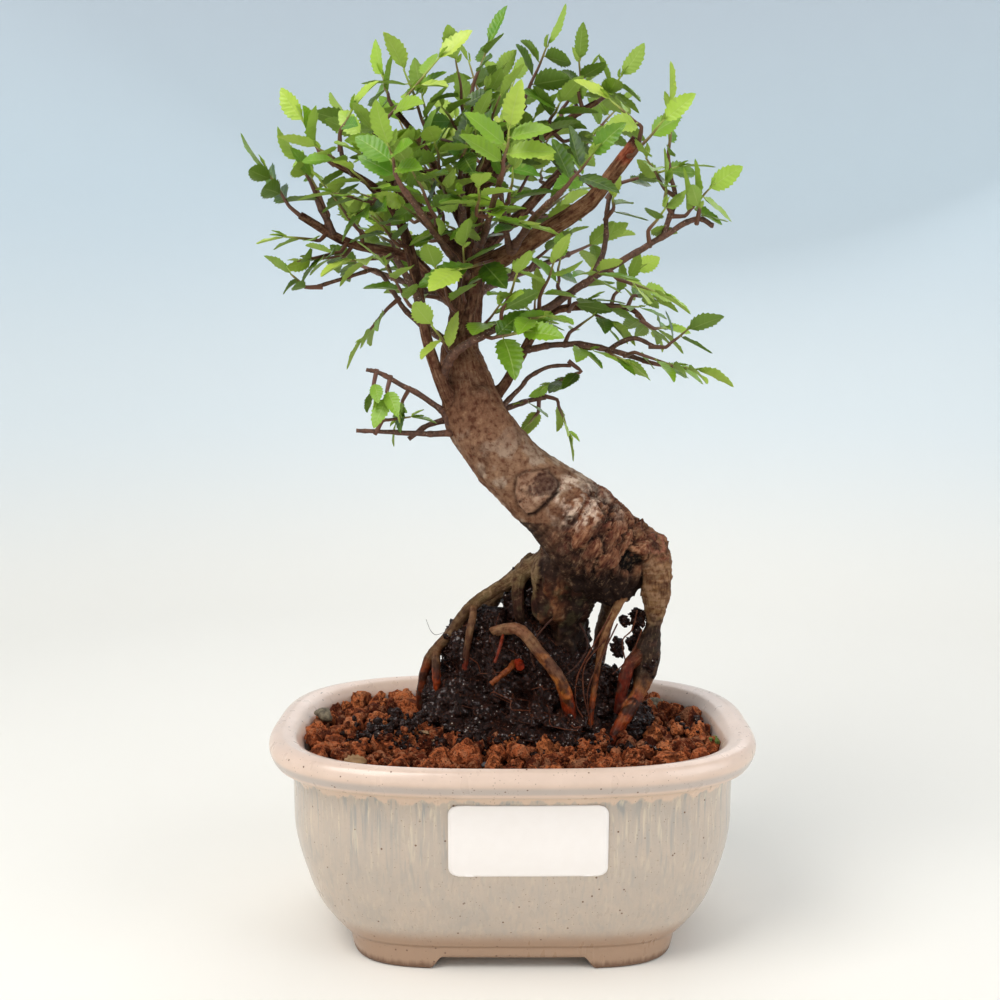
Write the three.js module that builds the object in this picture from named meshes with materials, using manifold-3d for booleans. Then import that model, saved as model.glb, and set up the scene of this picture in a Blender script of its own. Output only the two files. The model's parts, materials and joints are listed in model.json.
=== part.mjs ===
// A Chinese elm grown over its own raised roots, in a glazed oval pot of red clay grains.
// Millimetres, +Z up, +X to the right of the front, -Y towards the viewer. The pot stands on z = 0.
import * as THREE from 'three';
import Module from 'manifold-3d';

const wasm = await Module();
wasm.setup();

// Driving dimensions
const GAP = 0.35;
const ROOT_HOLE_GAP = 0.4;
const POT_SIDES = 28;
const FLOOR_TOP = 8;
const FOOT_WIDTH = 8;
const FRONT_NOTCH = 38;
const END_NOTCH = 24;
const DRAIN_RADIUS = 8;
const DRAIN_MESH = { side: 26, thick: 0.9, opening: 4.8, pitch: 7 };
const BED_TOP = 49.7;
const GRAINS = { rows: 27, columns: 33, pitch: 4.25, rise: 2.1, valleyRise: 0.7, stray: 1.2 };
const PEAT_BUMP = 2.6;
const LABEL = { middle: 3.5, width: 38, low: 27.1, high: 45.2, corner: 2.4, thick: 0.5 };
const STEM_RADIUS = 0.65;
const BLADE = { thick: 0.65, fold: 0.16, arch: 0.1 };
const LEAF_CLEARANCE = 2.9;
const SISTER_CLEARANCE = 1.8;
const WOOD_CLEARANCE = 1.3;
const CANOPY_AXIS = [-4, 4];
// How a leafy stem starts: the length of its first stretch, and how far that turns to the tip
const KNEE = { reach: 2.5, turn: 0.7 };
// How leaves sit on their stem: places from 0 to 1 along it, angles in radians, the rest as parts of 1
const HABIT = {
  first: 0.3, spread: 0.64, tip: 0.98, lean: 0.95, leanVaries: 0.35, tipLeanVaries: 0.3, droop: 0.1,
  droopVaries: 0.2, tiltVaries: 0.5, faceUp: 0.62, faceOut: 0.85, shortest: 0.88, lengthVaries: 0.3,
};
// How far a cutter reaches past what it cuts, and past every side of the pot
const PAST = 1;
const BEYOND = 70;

// The pot's sections, from the underside up: height, half length, half depth, squareness
const POT_OUTSIDE = [
  [3.3, 42.3, 32.1, 4.4],
  [6.2, 43.6, 32.4, 4.3],
  [6.8, 45, 32.8, 4.2],
  [12.8, 50.2, 35.5, 3.8],
  [20, 53.4, 37.6, 3.6],
  [31, 56.4, 39.5, 3.4],
  [45.2, 57.2, 40.6, 3.2],
  [48.2, 61.3, 43.5, 3.1],
  [51.6, 63, 45.5, 3],
  [54, 62.3, 44.6, 3],
  [54.7, 60.6, 43.3, 3],
];
const POT_INSIDE = [
  [8, 41, 29, 4],
  [13, 46.8, 32.6, 3.8],
  [26, 50.8, 35.4, 3.5],
  [48, 53.6, 38, 3.1],
  [53.4, 56, 40.2, 3],
  [54.7, 59, 42.2, 3],
];
const FOOT_RING = [
  [0, 41.5, 32, 4.5],
  [4.2, 42.5, 32.15, 4.4],
];

// The old root ball's dark peat, from inside the bed up between the roots:
// height, centre x, centre y, half length, half depth
const PEAT = [
  [44, 5, 4, 33, 20],
  [51.5, 5, 5, 35, 22],
  [57, 5, 6, 31, 18],
  [64, 4, 8, 27, 14],
  [71, 2, 9, 22, 12],
  [78, -1, 10, 15, 9],
  [83, -1, 10, 8, 6],
];
const PEAT_SIDES = 12;

// The wood, as routes of points along each limb: x, y, z, radius
const LIMBS = {
  trunk: [[29, 4, 90, 5], [26, 2, 95, 10], [20.5, 0, 103, 11.6], [15, 0, 109, 10.6], [7.5, 0, 115, 9.3],
    [0, 0, 122, 8.6], [-6, 0, 129.5, 8.4], [-10, 1, 137, 7.8], [-12, 2, 146, 6.1], [-13.5, 3, 154, 4.9],
    [-11, 3, 168, 3.6], [-10, 5, 187, 2.7], [-7.5, 7, 198, 2.2], [2.5, 10, 216, 1.6]],
  root_left: [[14, 3, 100.5, 4.3], [9.5, 4, 97.5, 2.7], [0.5, 6, 91, 1.9], [-10.5, 8, 83.5, 1.6],
    [-17, 8, 75, 1.5], [-22.5, 8, 68.5, 1.4], [-24.5, 8, 60.5, 1.4], [-25.5, 10, 48.5, 1.1]],
  root_left_fork: [[-20.5, 8, 71, 1.1], [-20.5, 4, 67, 1.2], [-20, 3, 62, 1.2], [-19.5, 5, 53, 1]],
  root_left_drop: [[-10.5, 8, 83, 1], [-10.5, 4, 81, 1], [-11.5, 2.5, 76, 1], [-12.5, 2, 68, 0.9],
    [-12.5, 3, 56, 0.8]],
  root_stub: [[2.5, 5, 92, 1.7], [1.5, 3, 88, 1.7], [2, 3, 82, 1.5], [4, 8, 72, 1.2]],
  root_arch: [[-9.5, 19, 76, 1.2], [-8, 11, 74.5, 1.3], [-4.5, 3, 77, 1.5], [-1, 0, 78.5, 1.5],
    [2.5, -3, 78.5, 1.6], [7.5, -6, 73, 1.6], [12.5, -8, 66.5, 1.7], [15, -8, 58, 1.8],
    [15.5, -8, 48.5, 1.3]],
  root_centre: [[21, 4, 96.5, 8.3], [17, 4, 89.5, 6.7], [15, 5, 82.5, 5.4], [15, 6, 74, 4.2],
    [16.5, 7, 64, 3.3]],
  root_right: [[30.5, 0, 103, 6.1], [36.5, -1, 98, 5], [38, -1, 89, 3.8], [37.5, -1, 80.5, 2.1],
    [37, -1, 77.5, 2.4], [36, -1, 73.5, 3.5], [35.5, -1, 69, 3.6], [33.5, -4, 62.5, 2], [29, -9, 56.5, 1.8],
    [24.5, -11, 48.5, 1.4]],
  root_right_fork: [[34, -2, 72.5, 1.9], [31, -4, 70, 1.7], [29.5, -5, 66, 1.6], [28, -5, 57, 1.3]],
  root_thin: [[33, 2, 95, 1.7], [28.5, -3, 87, 1.3], [24, -5, 77.5, 0.9], [22, -6, 67, 0.8],
    [20.5, -8, 57, 0.8], [20, -9, 48.5, 0.7]],
  root_back: [[24, 8, 96, 4.5], [27, 15, 90, 3.4], [28, 21, 81, 2.6], [26, 24, 71, 2.2],
    [23, 26, 48.5, 1.4]],
  root_back_left: [[6, 7, 95, 3.2], [0, 13, 89, 2.2], [-7, 18, 80, 1.9], [-12, 21, 70, 1.7],
    [-16, 23, 48.5, 1.2]],
  great_limb: [[-10, 3, 172, 2.9], [1, -2, 177.5, 2.5], [16.5, -9, 186.5, 2.1], [21, -11, 190.5, 1.9],
    [30, -16, 202, 1.7]],
  long_limb: [[-18.5, -3, 143, 1.4], [-16, -8, 149.5, 1.2], [-12, -10.5, 153, 1.1], [-0.5, -9, 159, 1.1],
    [8, -8, 162, 1.1], [19.5, -9, 169.5, 0.9], [32.5, -11, 177, 0.8], [44, -13, 183.5, 0.7],
    [49, -14, 182, 0.6]],
  long_limb_twig: [[19.5, -9, 169.5, 0.8], [23, -7.5, 177, 0.7], [23.5, -6, 185.5, 0.6],
    [24.5, -5, 190.5, 0.6]],
  long_limb_fork: [[37, -12, 180, 0.7], [39, -12, 185.5, 0.7], [40, -11, 189, 0.6], [39, -10, 194, 0.5]],
  low_right: [[-6, 2, 138.5, 1.7], [-2, 4, 143, 1.4], [2, 5, 150, 1.3], [9.5, 7, 161.5, 1.1],
    [21, 8, 163.5, 0.9], [31, 8, 163, 0.7], [35, 8, 159.5, 0.6]],
  low_reach: [[3, 5, 152, 1], [12.5, 1, 153.5, 0.8], [21, -1, 153, 0.8], [34.5, -3, 149, 0.6]],
  low_reach_fork: [[24, -1, 151.5, 0.7], [30.5, -3, 155, 0.6], [36, -4, 153, 0.5]],
  low_twig: [[-3, 2, 137, 0.8], [2, 4, 142, 0.6], [4.5, 4, 145, 0.6], [9.5, 4, 147.5, 0.5],
    [15.5, 4, 148, 0.5]],
  low_snag: [[-4, 5, 136, 0.9], [4, 8, 138.5, 0.7], [9, 9, 139.5, 0.6]],
  riser: [[-14, 0, 136, 2.6], [-17, -4, 141, 1.9], [-21, -7, 152, 1.4], [-23.5, -7, 164.5, 1.4],
    [-25.5, -6, 175.5, 1.4], [-29, -8, 185.5, 1.2], [-34.5, -10, 192, 0.9], [-44.5, -12, 197.5, 0.7]],
  riser_fork: [[-39, -11, 194.5, 0.7], [-41.5, -12, 198, 0.6], [-42, -13, 201, 0.5]],
  riser_snag: [[-21.5, -7, 158, 1], [-23.5, -11, 164.5, 0.9], [-29, -12, 174.5, 0.8]],
  left_limb: [[-12, 3, 160.5, 2], [-23, 5, 173, 1.4], [-28, 5, 176.5, 1.4], [-40, 4, 179, 1.2],
    [-45.5, 2, 181, 1.2], [-54, -2, 186, 1]],
  left_limb_fork: [[-46, 1, 181.5, 1], [-49, -1, 188.5, 0.9], [-50, -2, 191.5, 0.8]],
  upper_left: [[-11.5, 3, 174.5, 1.6], [-24, 0, 186.5, 1.2], [-28, -3, 190.5, 1], [-35.5, -7, 200, 0.6]],
  snag_low_a: [[-16, -1, 133, 1.1], [-20, -4, 138, 0.8], [-32.5, -7, 145.5, 0.6], [-37, -8, 147, 0.5]],
  snag_low_b: [[-13, 0, 131.5, 1.1], [-19.5, -3, 130.5, 0.8], [-40, -6, 131.5, 0.5]],
  snag_low_c: [[-15.5, 2, 134.5, 0.9], [-22, 0, 132.5, 0.7], [-27, -1, 129, 0.6]],
  left_twig: [[-14, 4, 152.5, 1.3], [-22, 6, 157.5, 0.9], [-28.5, 5, 163, 0.7], [-34.5, 2, 172, 0.6],
    [-40.5, -1, 171, 0.5], [-49.5, -4, 168, 0.5]],
  stub_up: [[-10.5, 2, 179, 1.4], [-12.5, -4, 184, 1.1], [-13, -6, 195, 0.9]],
  thorn_up: [[-0.5, -4, 176.5, 1], [-1.5, -8, 181, 0.8], [-3, -10, 190.5, 0.6]],
  crown_left: [[-10, 5, 179, 1.8], [-14, 4, 187.5, 1.6], [-22, 2, 202.5, 1], [-29.5, 0, 212, 0.7]],
  crown_mid: [[-10, 6, 187.5, 1.7], [-12, 6, 195.5, 1.3], [-10.5, 4, 216, 0.7]],
  crown_right: [[-8, 7, 196.5, 1.6], [0, 7, 201.5, 1.3], [15.5, 7, 212, 0.9], [22, 8, 216, 0.7]],
  back_right: [[-10, 4, 175, 2], [-2.5, 16, 184, 1.6], [6, 25, 193, 1.4], [21.5, 36, 211, 0.8]],
  back_left: [[-10, 4, 173, 1.8], [-17.5, 16, 182.5, 1.5], [-26, 25, 192, 1.2], [-40, 36, 208, 0.8]],
  back_top: [[-10, 5, 182, 1.7], [-8.5, 20, 191.5, 1.5], [-6, 31, 203, 1.3], [-2, 44, 220.5, 0.8]],
  back_low_right: [[-12, 4, 164, 1.4], [-4.5, 16, 170, 1.1], [16.5, 34, 179.5, 0.8]],
  back_low_left: [[-12, 4, 161, 1.4], [-19.5, 16, 166.5, 1.1], [-40, 32, 175, 0.7]],
  front_mid: [[-9.5, 2, 177, 1.3], [-7, -12, 180.5, 0.9], [-3, -30, 191, 0.7]],
  front_left: [[-11, 2, 170, 1.3], [-16, -13, 176, 0.9], [-25.5, -31, 188.5, 0.7]],
  front_right: [[-0.5, -2, 176, 1.1], [4.5, -15, 183, 0.9], [11, -24, 188.5, 0.7]],
};

// Knots, burrs and healed cuts on the wood: x, y, z, size across, height
const KNOBS = [
  [7, -7.5, 114, 5, 3.4],
  [33, -6, 100, 5.5, 5],
  [38.5, 1, 101.5, 5, 5.5],
  [24, -8, 108, 5, 4],
  [16, 7, 112, 6, 5],
  [27, 8, 101, 6, 6],
  [-16, -2, 137, 4, 4.5],
  [10, 2, 101, 6, 6],
  [38.5, -3, 90.5, 3.4, 2.6],
  [-8, -6, 141, 4, 3.4],
];

// The leafy twigs: limb, place along it from 0 to 1, the twig's tip, leaves, leaf length
const SPRAYS = [
  ['left_limb', 1, [-62, -5, 197], 5, 10.5],
  ['left_limb', 0.74, [-54, -7, 174], 4, 9.5],
  ['left_limb', 0.42, [-38, 12, 188], 4, 10],
  ['left_limb_fork', 1, [-54, -4, 199], 4, 9.5],
  ['riser', 1, [-51, -13, 207], 5, 10.5],
  ['riser', 0.8, [-38, -18, 184], 4, 10],
  ['riser_fork', 1, [-39, -15, 209], 4, 10],
  ['upper_left', 1, [-18, -12, 222], 6, 11],
  ['upper_left', 0.62, [-39, 4, 207], 4, 10],
  ['upper_left', 0.35, [-28, -14, 193], 4, 11],
  ['crown_left', 1, [-33, 2, 221], 5, 11],
  ['crown_left', 0.6, [-24, -12, 203], 4, 11],
  ['crown_mid', 1, [-6, 2, 229], 5, 10.5],
  ['crown_mid', 0.6, [-23, 14, 209], 4, 10.5],
  ['trunk', 1, [9, 8, 230], 6, 11.5],
  ['trunk', 0.93, [-7, 0, 218], 4, 10],
  ['crown_right', 1, [28, 6, 222], 4, 10],
  ['crown_right', 0.72, [21, 12, 226], 5, 10.5],
  ['crown_right', 0.45, [12, -2, 202], 4, 11],
  ['great_limb', 1, [23, -18, 211], 3, 10],
  ['great_limb', 0.93, [35, -24, 205], 3, 10],
  ['great_limb', 0.72, [11, -14, 198], 4, 10.5],
  ['great_limb', 0.13, [-13, -20, 171], 3, 13],
  ['long_limb_twig', 1, [41, -8, 197], 6, 9.5],
  ['long_limb_fork', 1, [38, -14, 210], 5, 11],
  ['long_limb_fork', 0.35, [48, -12, 191], 5, 10.5],
  ['long_limb', 0.66, [35, -15, 166], 4, 10.5],
  ['long_limb', 0.5, [12, -3, 175], 4, 9.5],
  ['low_right', 0.82, [33, 12, 173], 4, 9.5],
  ['low_right', 1, [41, 11, 158], 4, 9.5],
  ['low_reach', 1, [47, -6, 147], 5, 10.5],
  ['low_reach_fork', 1, [44, -8, 157], 4, 10.5],
  ['low_snag', 1, [15, 7, 130], 3, 8],
  ['snag_low_a', 0.55, [-30, -2, 134], 4, 8],
  ['left_twig', 1, [-56, -6, 171], 3, 8],
  ['left_twig', 0.45, [-39, 2, 155], 4, 9.5],
  ['trunk', 0.52, [-20, -14, 158], 3, 10.5],
  ['long_limb', 0.24, [2, -18, 156], 4, 12],
  ['stub_up', 1, [-11, -12, 203], 4, 10.5],
  ['thorn_up', 1, [1, -14, 200], 4, 10.5],
  ['front_mid', 1, [-1, -37, 201], 5, 11],
  ['front_left', 1, [-28, -37, 197], 5, 11],
  ['front_right', 1, [18, -30, 196], 5, 11],
  ['back_right', 1, [30, 43, 221], 5, 11],
  ['back_right', 0.5, [17, 35, 197], 4, 10.5],
  ['back_left', 1, [-47, 42, 219], 5, 11],
  ['back_left', 0.5, [-38, 34, 194], 4, 10.5],
  ['back_top', 1, [1, 49, 231], 5, 11],
  ['back_top', 0.6, [-16, 38, 218], 5, 10.5],
  ['back_low_right', 1, [28, 42, 185], 5, 10.5],
  ['back_low_left', 1, [-51, 38, 180], 5, 10.5],
];

// The colour, roughness and metalness of each kind of piece
const FINISHES = {
  pot: { color: 0xc4bbac, roughness: 0.3 },
  mesh: { color: 0x2b2d2e, roughness: 0.6 },
  grains: { color: 0x8a4d31, roughness: 0.95 },
  peat: { color: 0x1c1411, roughness: 0.8 },
  bark: { color: 0x6d5142, roughness: 0.85 },
  paper: { color: 0xf4f4f1, roughness: 0.7 },
  leaf: { color: 0x5f9a35, roughness: 0.5 },
};

// Short vector sums on plain [x, y, z] lists
const add = (a, b, scale = 1) => [a[0] + b[0] * scale, a[1] + b[1] * scale, a[2] + b[2] * scale];
const dot = (a, b) => a[0] * b[0] + a[1] * b[1] + a[2] * b[2];
const cross = (a, b) => [a[1] * b[2] - a[2] * b[1], a[2] * b[0] - a[0] * b[2], a[0] * b[1] - a[1] * b[0]];
const unit = (a) => add([0, 0, 0], a, 1 / Math.hypot(...a));
const blend = (a, b, t) => a.map((value, i) => value + (b[i] - value) * t);

// A repeatable stream of numbers from 0 to 1
function seeded(seed) {
  let state = seed >>> 0;
  return () => {
    state = (Math.imul(state, 1664525) + 1013904223) >>> 0;
    return state / 4294967296;
  };
}

// One solid from corner points and triangles, turned so that its faces point out
function solid(points, faces) {
  let volume = 0;
  for (const [a, b, c] of faces) {
    volume += dot(points[a], cross(points[b], points[c]));
  }
  const turned = volume < 0 ? faces.map(([a, b, c]) => [a, c, b]) : faces;
  return new wasm.Manifold(new wasm.Mesh({
    numProp: 3,
    vertProperties: new Float32Array(points.flat()),
    triVerts: new Uint32Array(turned.flat()),
  }));
}

// A closed skin through rings of equal count, with a flat fan over each end
function loft(rings) {
  const count = rings[0].length;
  const last = (rings.length - 1) * count;
  const faces = [];
  for (let ring = 0; ring < rings.length - 1; ring += 1) {
    for (let i = 0; i < count; i += 1) {
      const a = ring * count + i;
      const b = ring * count + ((i + 1) % count);
      faces.push([a, b, b + count], [a, b + count, a + count]);
    }
  }
  for (let i = 1; i < count - 1; i += 1) {
    faces.push([0, i + 1, i], [last, last + i, last + i + 1]);
  }
  return solid(rings.flat(), faces);
}

function union(solids) {
  return wasm.Manifold.union(solids);
}

// A box between two corners
function box(low, high) {
  const [[x0, y0, z0], [x1, y1, z1]] = [low, high];
  const corners = (z) => [[x0, y0, z], [x1, y0, z], [x1, y1, z], [x0, y1, z]];
  return loft([corners(z0), corners(z1)]);
}

// One oval section of the pot, between an ellipse and a rectangle in shape
function oval([z, halfLength, halfDepth, squareness], grow = 0) {
  const bend = (value) => Math.sign(value) * Math.abs(value) ** (2 / squareness);
  return Array.from({ length: POT_SIDES }, (_, i) => {
    const turn = (i / POT_SIDES) * 2 * Math.PI;
    return [(halfLength + grow) * bend(Math.cos(turn)), (halfDepth + grow) * bend(Math.sin(turn)), z];
  });
}

function ovalLoft(sections, grow = 0) {
  return loft(sections.map((section) => oval(section, grow)));
}

function disc(radius, low, high, sides = 14) {
  const ring = (z) => Array.from({ length: sides }, (_, i) => {
    const turn = (i / sides) * 2 * Math.PI;
    return [radius * Math.cos(turn), radius * Math.sin(turn), z];
  });
  return loft([ring(low), ring(high)]);
}

// The hollow of the pot, open above the rim, narrowed by a clearance for what fills it
function potHollow(narrow = 0) {
  const rim = POT_INSIDE[POT_INSIDE.length - 1];
  const above = [rim[0] + PAST, rim[1] + 1.6, rim[2] + 1.3, rim[3]];
  const sections = [...POT_INSIDE, above].map(([z, a, b, n], i) => [i === 0 ? z + narrow : z, a, b, n]);
  return ovalLoft(sections, -narrow);
}

function makePot() {
  const body = ovalLoft(POT_OUTSIDE);
  const foot = ovalLoft(FOOT_RING);
  const top = FOOT_RING[1][0] + PAST;
  const cut = (halfX, halfY) => box([-halfX, -halfY, -PAST], [halfX, halfY, top]);
  const [, halfLength, halfDepth] = FOOT_RING[0];
  const inside = cut(halfLength - FOOT_WIDTH, halfDepth - FOOT_WIDTH);
  const notches = cut(FRONT_NOTCH / 2, BEYOND).add(cut(BEYOND, END_NOTCH / 2));
  const feet = foot.subtract(inside).subtract(notches);
  return body.add(feet).subtract(potHollow()).subtract(disc(DRAIN_RADIUS, -PAST, FLOOR_TOP + PAST));
}

// A square of plastic mesh over the drain hole, with a grid of square openings
function makeDrainMesh() {
  const { side, thick, opening, pitch } = DRAIN_MESH;
  const low = FLOOR_TOP + GAP;
  const high = low + thick;
  const openings = [];
  for (const x of [-pitch, 0, pitch]) {
    for (const y of [-pitch, 0, pitch]) {
      const [lowX, highX, lowY, highY] = [x - opening / 2, x + opening / 2, y - opening / 2, y + opening / 2];
      openings.push(box([lowX, lowY, low - PAST], [highX, highY, high + PAST]));
    }
  }
  return box([-side / 2, -side / 2, low], [side / 2, side / 2, high]).subtract(union(openings));
}

// The room that the drain mesh takes in the soil
function drainPocket() {
  const half = DRAIN_MESH.side / 2 + GAP;
  return box([-half, -half, FLOOR_TOP - PAST], [half, half, FLOOR_TOP + DRAIN_MESH.thick + 2 * GAP]);
}

// A smooth route through a limb's points, with a number of steps in each stretch
function smooth(points, steps) {
  const route = [];
  for (let i = 0; i < points.length - 1; i += 1) {
    const last = points.length - 1;
    const [p0, p1, p2, p3] = [-1, 0, 1, 2].map((k) => points[Math.min(Math.max(i + k, 0), last)]);
    for (let step = 0; step < steps; step += 1) {
      const t = step / steps;
      route.push(p1.map((_, k) => 0.5 * (2 * p1[k] + (p2[k] - p0[k]) * t
        + (2 * p0[k] - 5 * p1[k] + 4 * p2[k] - p3[k]) * t ** 2
        + (3 * p1[k] - p0[k] - 3 * p2[k] + p3[k]) * t ** 3)));
    }
  }
  route.push(points[points.length - 1]);
  return route;
}

// A tapered limb along its route; its section is fluted where it is thick, and grow adds to its radius
function limb(points, sides, steps = 1, grow = 0, flutes = 0) {
  const route = smooth(points, steps);
  const rings = [];
  let side = null;
  route.forEach((point, i) => {
    const before = route[Math.max(i - 1, 0)];
    const after = route[Math.min(i + 1, route.length - 1)];
    const along = unit(add(after, before, -1));
    const start = side ?? (Math.abs(along[1]) < 0.9 ? [0, 1, 0] : [1, 0, 0]);
    side = unit(add(start, along, -dot(start, along)));
    const other = cross(along, side);
    const end = i === 0 ? -grow : grow;
    const centre = i === 0 || i === route.length - 1 ? add(point, along, end) : point;
    rings.push(Array.from({ length: sides }, (_, k) => {
      const turn = (k / sides) * 2 * Math.PI;
      const relief = 1 + flutes * (Math.sin(3 * turn + 0.35 * i) + 0.6 * Math.sin(5 * turn - 0.8 * i));
      const radius = point[3] * relief + grow;
      return add(add(centre, side, radius * Math.cos(turn)), other, radius * Math.sin(turn));
    }));
  });
  return loft(rings);
}

// How finely each limb is made: sides, steps between points, depth of its flutes
function limbDetail(name) {
  const widest = Math.max(...LIMBS[name].map((point) => point[3]));
  if (name === 'trunk') {
    return [10, 2, 0.05];
  }
  if (name.startsWith('root')) {
    return widest > 4 ? [8, 1, 0.06] : [widest > 1.4 ? 5 : 4, 1, 0];
  }
  return [widest > 1.5 ? 5 : 3, 1, 0];
}

function makeLimb(name, grow = 0) {
  const [sides, steps, flutes] = limbDetail(name);
  return limb(LIMBS[name], sides, steps, grow, flutes);
}

// A rough eight-sided lump, its corners moved a little by the seeded stream
function lump([x, y, z, across, height], random) {
  const wobble = () => 0.85 + 0.3 * random();
  const points = [[x, y, z + (height / 2) * wobble()], [x, y, z - (height / 2) * wobble()]];
  for (let i = 0; i < 5; i += 1) {
    const turn = (i / 5) * 2 * Math.PI;
    const reach = (across / 2) * wobble();
    points.push([x + reach * Math.cos(turn), y + reach * Math.sin(turn), z]);
  }
  const faces = [];
  for (let i = 0; i < 5; i += 1) {
    const next = 2 + ((i + 1) % 5);
    faces.push([0, 2 + i, next], [1, next, 2 + i]);
  }
  return solid(points, faces);
}

function makeWood() {
  const random = seeded(11);
  const knobs = KNOBS.map((knob) => lump(knob, random));
  return union([...Object.keys(LIMBS).map((name) => makeLimb(name)), ...knobs]);
}

// The room that the roots take in the peat and the bed
function rootHoles() {
  const roots = Object.keys(LIMBS).filter((name) => name.startsWith('root'));
  return union(roots.map((name) => makeLimb(name, ROOT_HOLE_GAP)));
}

// The mound of old peat, with a lumpy skin
function peatMound(grow = 0) {
  const random = seeded(5);
  const rings = PEAT.map(([z, x, y, halfLength, halfDepth], level) => {
    const height = level === 0 ? z - grow : z + grow;
    return Array.from({ length: PEAT_SIDES }, (_, i) => {
      const turn = ((i + 0.5 * (level % 2)) / PEAT_SIDES) * 2 * Math.PI;
      const bump = (random() - 0.5) * (level === 0 ? 0 : PEAT_BUMP);
      const reachX = halfLength + bump + grow;
      const reachY = halfDepth + bump + grow;
      return [x + reachX * Math.cos(turn), y + reachY * Math.sin(turn), height];
    });
  });
  return loft(rings);
}

// The bed of clay grains: a sheet whose cells rise to a blunt peak, one for each grain
function grainSheet() {
  const random = seeded(29);
  const { rows, columns, pitch, rise, valleyRise, stray } = GRAINS;
  const rowPitch = pitch * Math.sqrt(0.75);
  const top = [];
  for (let row = 0; row < rows; row += 1) {
    for (let column = 0; column < columns; column += 1) {
      const shift = (row % 2) / 2;
      const across = column - (row - (row % 2)) / 2;
      const isPeak = (((across - row) % 3) + 3) % 3 === 0;
      const x = (column - (columns - 1) / 2 + shift) * pitch + (random() - 0.5) * stray;
      const y = (row - (rows - 1) / 2) * rowPitch + (random() - 0.5) * stray;
      const height = isPeak ? rise * (0.7 + 0.6 * random()) : valleyRise * random();
      top.push([x, y, BED_TOP + height]);
    }
  }
  const count = top.length;
  const floor = top.map(([x, y]) => [x, y, FLOOR_TOP - PAST]);
  const faces = [];
  for (let row = 0; row < rows - 1; row += 1) {
    for (let column = 0; column < columns - 1; column += 1) {
      const a = row * columns + column;
      const c = a + columns;
      const pair = row % 2 ? [[a, a + 1, c + 1], [a, c + 1, c]] : [[a, a + 1, c], [a + 1, c + 1, c]];
      for (const [i, j, k] of pair) {
        faces.push([i, j, k], [count + i, count + k, count + j]);
      }
    }
  }
  const edge = [];
  for (let column = 0; column < columns - 1; column += 1) {
    edge.push([column, column + 1], [(rows - 1) * columns + column + 1, (rows - 1) * columns + column]);
  }
  for (let row = 0; row < rows - 1; row += 1) {
    const [near, far] = [row * columns, (row + 1) * columns];
    edge.push([far, near], [near + columns - 1, far + columns - 1]);
  }
  for (const [i, j] of edge) {
    faces.push([j, i, count + i], [j, count + i, count + j]);
  }
  return solid([...top, ...floor], faces);
}

function makeSoil(holes) {
  const bed = grainSheet().intersect(potHollow(GAP));
  return bed.subtract(drainPocket()).subtract(peatMound(2 * GAP)).subtract(holes);
}

// A plain sticker with round corners, standing off the pot's front wall by the gap
function makeLabel() {
  const { middle, width, low, high, corner, thick } = LABEL;
  const outline = [];
  for (const [x, z, from] of [[1, 1, 0], [-1, 1, 1], [-1, -1, 2], [1, -1, 3]]) {
    for (let step = 0; step <= 3; step += 1) {
      const turn = (from + step / 3) * (Math.PI / 2);
      const centreZ = z > 0 ? high - corner : low + corner;
      const centreX = middle + x * (width / 2 - corner);
      outline.push([centreX + corner * Math.cos(turn), centreZ + corner * Math.sin(turn)]);
    }
  }
  const cutter = loft([outline.map(([x, z]) => [x, -BEYOND, z]), outline.map(([x, z]) => [x, 0, z])]);
  return cutter.intersect(ovalLoft(POT_OUTSIDE, GAP + thick)).subtract(ovalLoft(POT_OUTSIDE, GAP));
}

// The point and direction at a place from 0 to 1 along a limb or a stem
function placeOn(route, place) {
  const spans = route.slice(1).map((point, i) => Math.hypot(...add(point, route[i], -1)));
  let left = place * spans.reduce((sum, span) => sum + span, 0);
  let i = 0;
  while (i < spans.length - 1 && left > spans[i]) {
    left -= spans[i];
    i += 1;
  }
  const point = blend(route[i], route[i + 1], Math.min(left / spans[i], 1));
  return { point, along: unit(add(route[i + 1], route[i], -1)) };
}

// A leafy twig's stem: it leaves the limb's side squarely, or goes on from the limb's end
function stemRoute([name, place, tip]) {
  const { point, along } = placeOn(LIMBS[name], place);
  const towards = unit(add(tip, point, -1));
  const atEnd = place === 1;
  const square = atEnd ? along : unit(add(towards, along, -dot(towards, along)));
  const base = add(point, square, atEnd ? 2 * GAP : point[3] + GAP);
  const knee = add(base, unit(add(square, towards, KNEE.turn)), KNEE.reach);
  return [base, knee, tip];
}

// Where a leaf's clearance is tested, as parts of its length: along, across
const LEAF_TESTS = [[0.3, 0], [0.4, 0.24], [0.4, -0.24], [0.62, 0], [0.7, 0.2], [0.7, -0.2], [0.88, 0],
  [1, 0]];
// The turns about its own rib, in degrees, and the lengths that a leaf may take to come clear
const LEAF_TRIES = [[0, 1], [28, 1], [-28, 1], [55, 0.95], [-55, 0.95], [85, 0.85], [-85, 0.85], [180, 0.85],
  [120, 0.75], [-120, 0.75], [0, 0.7], [90, 0.65]];

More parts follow.
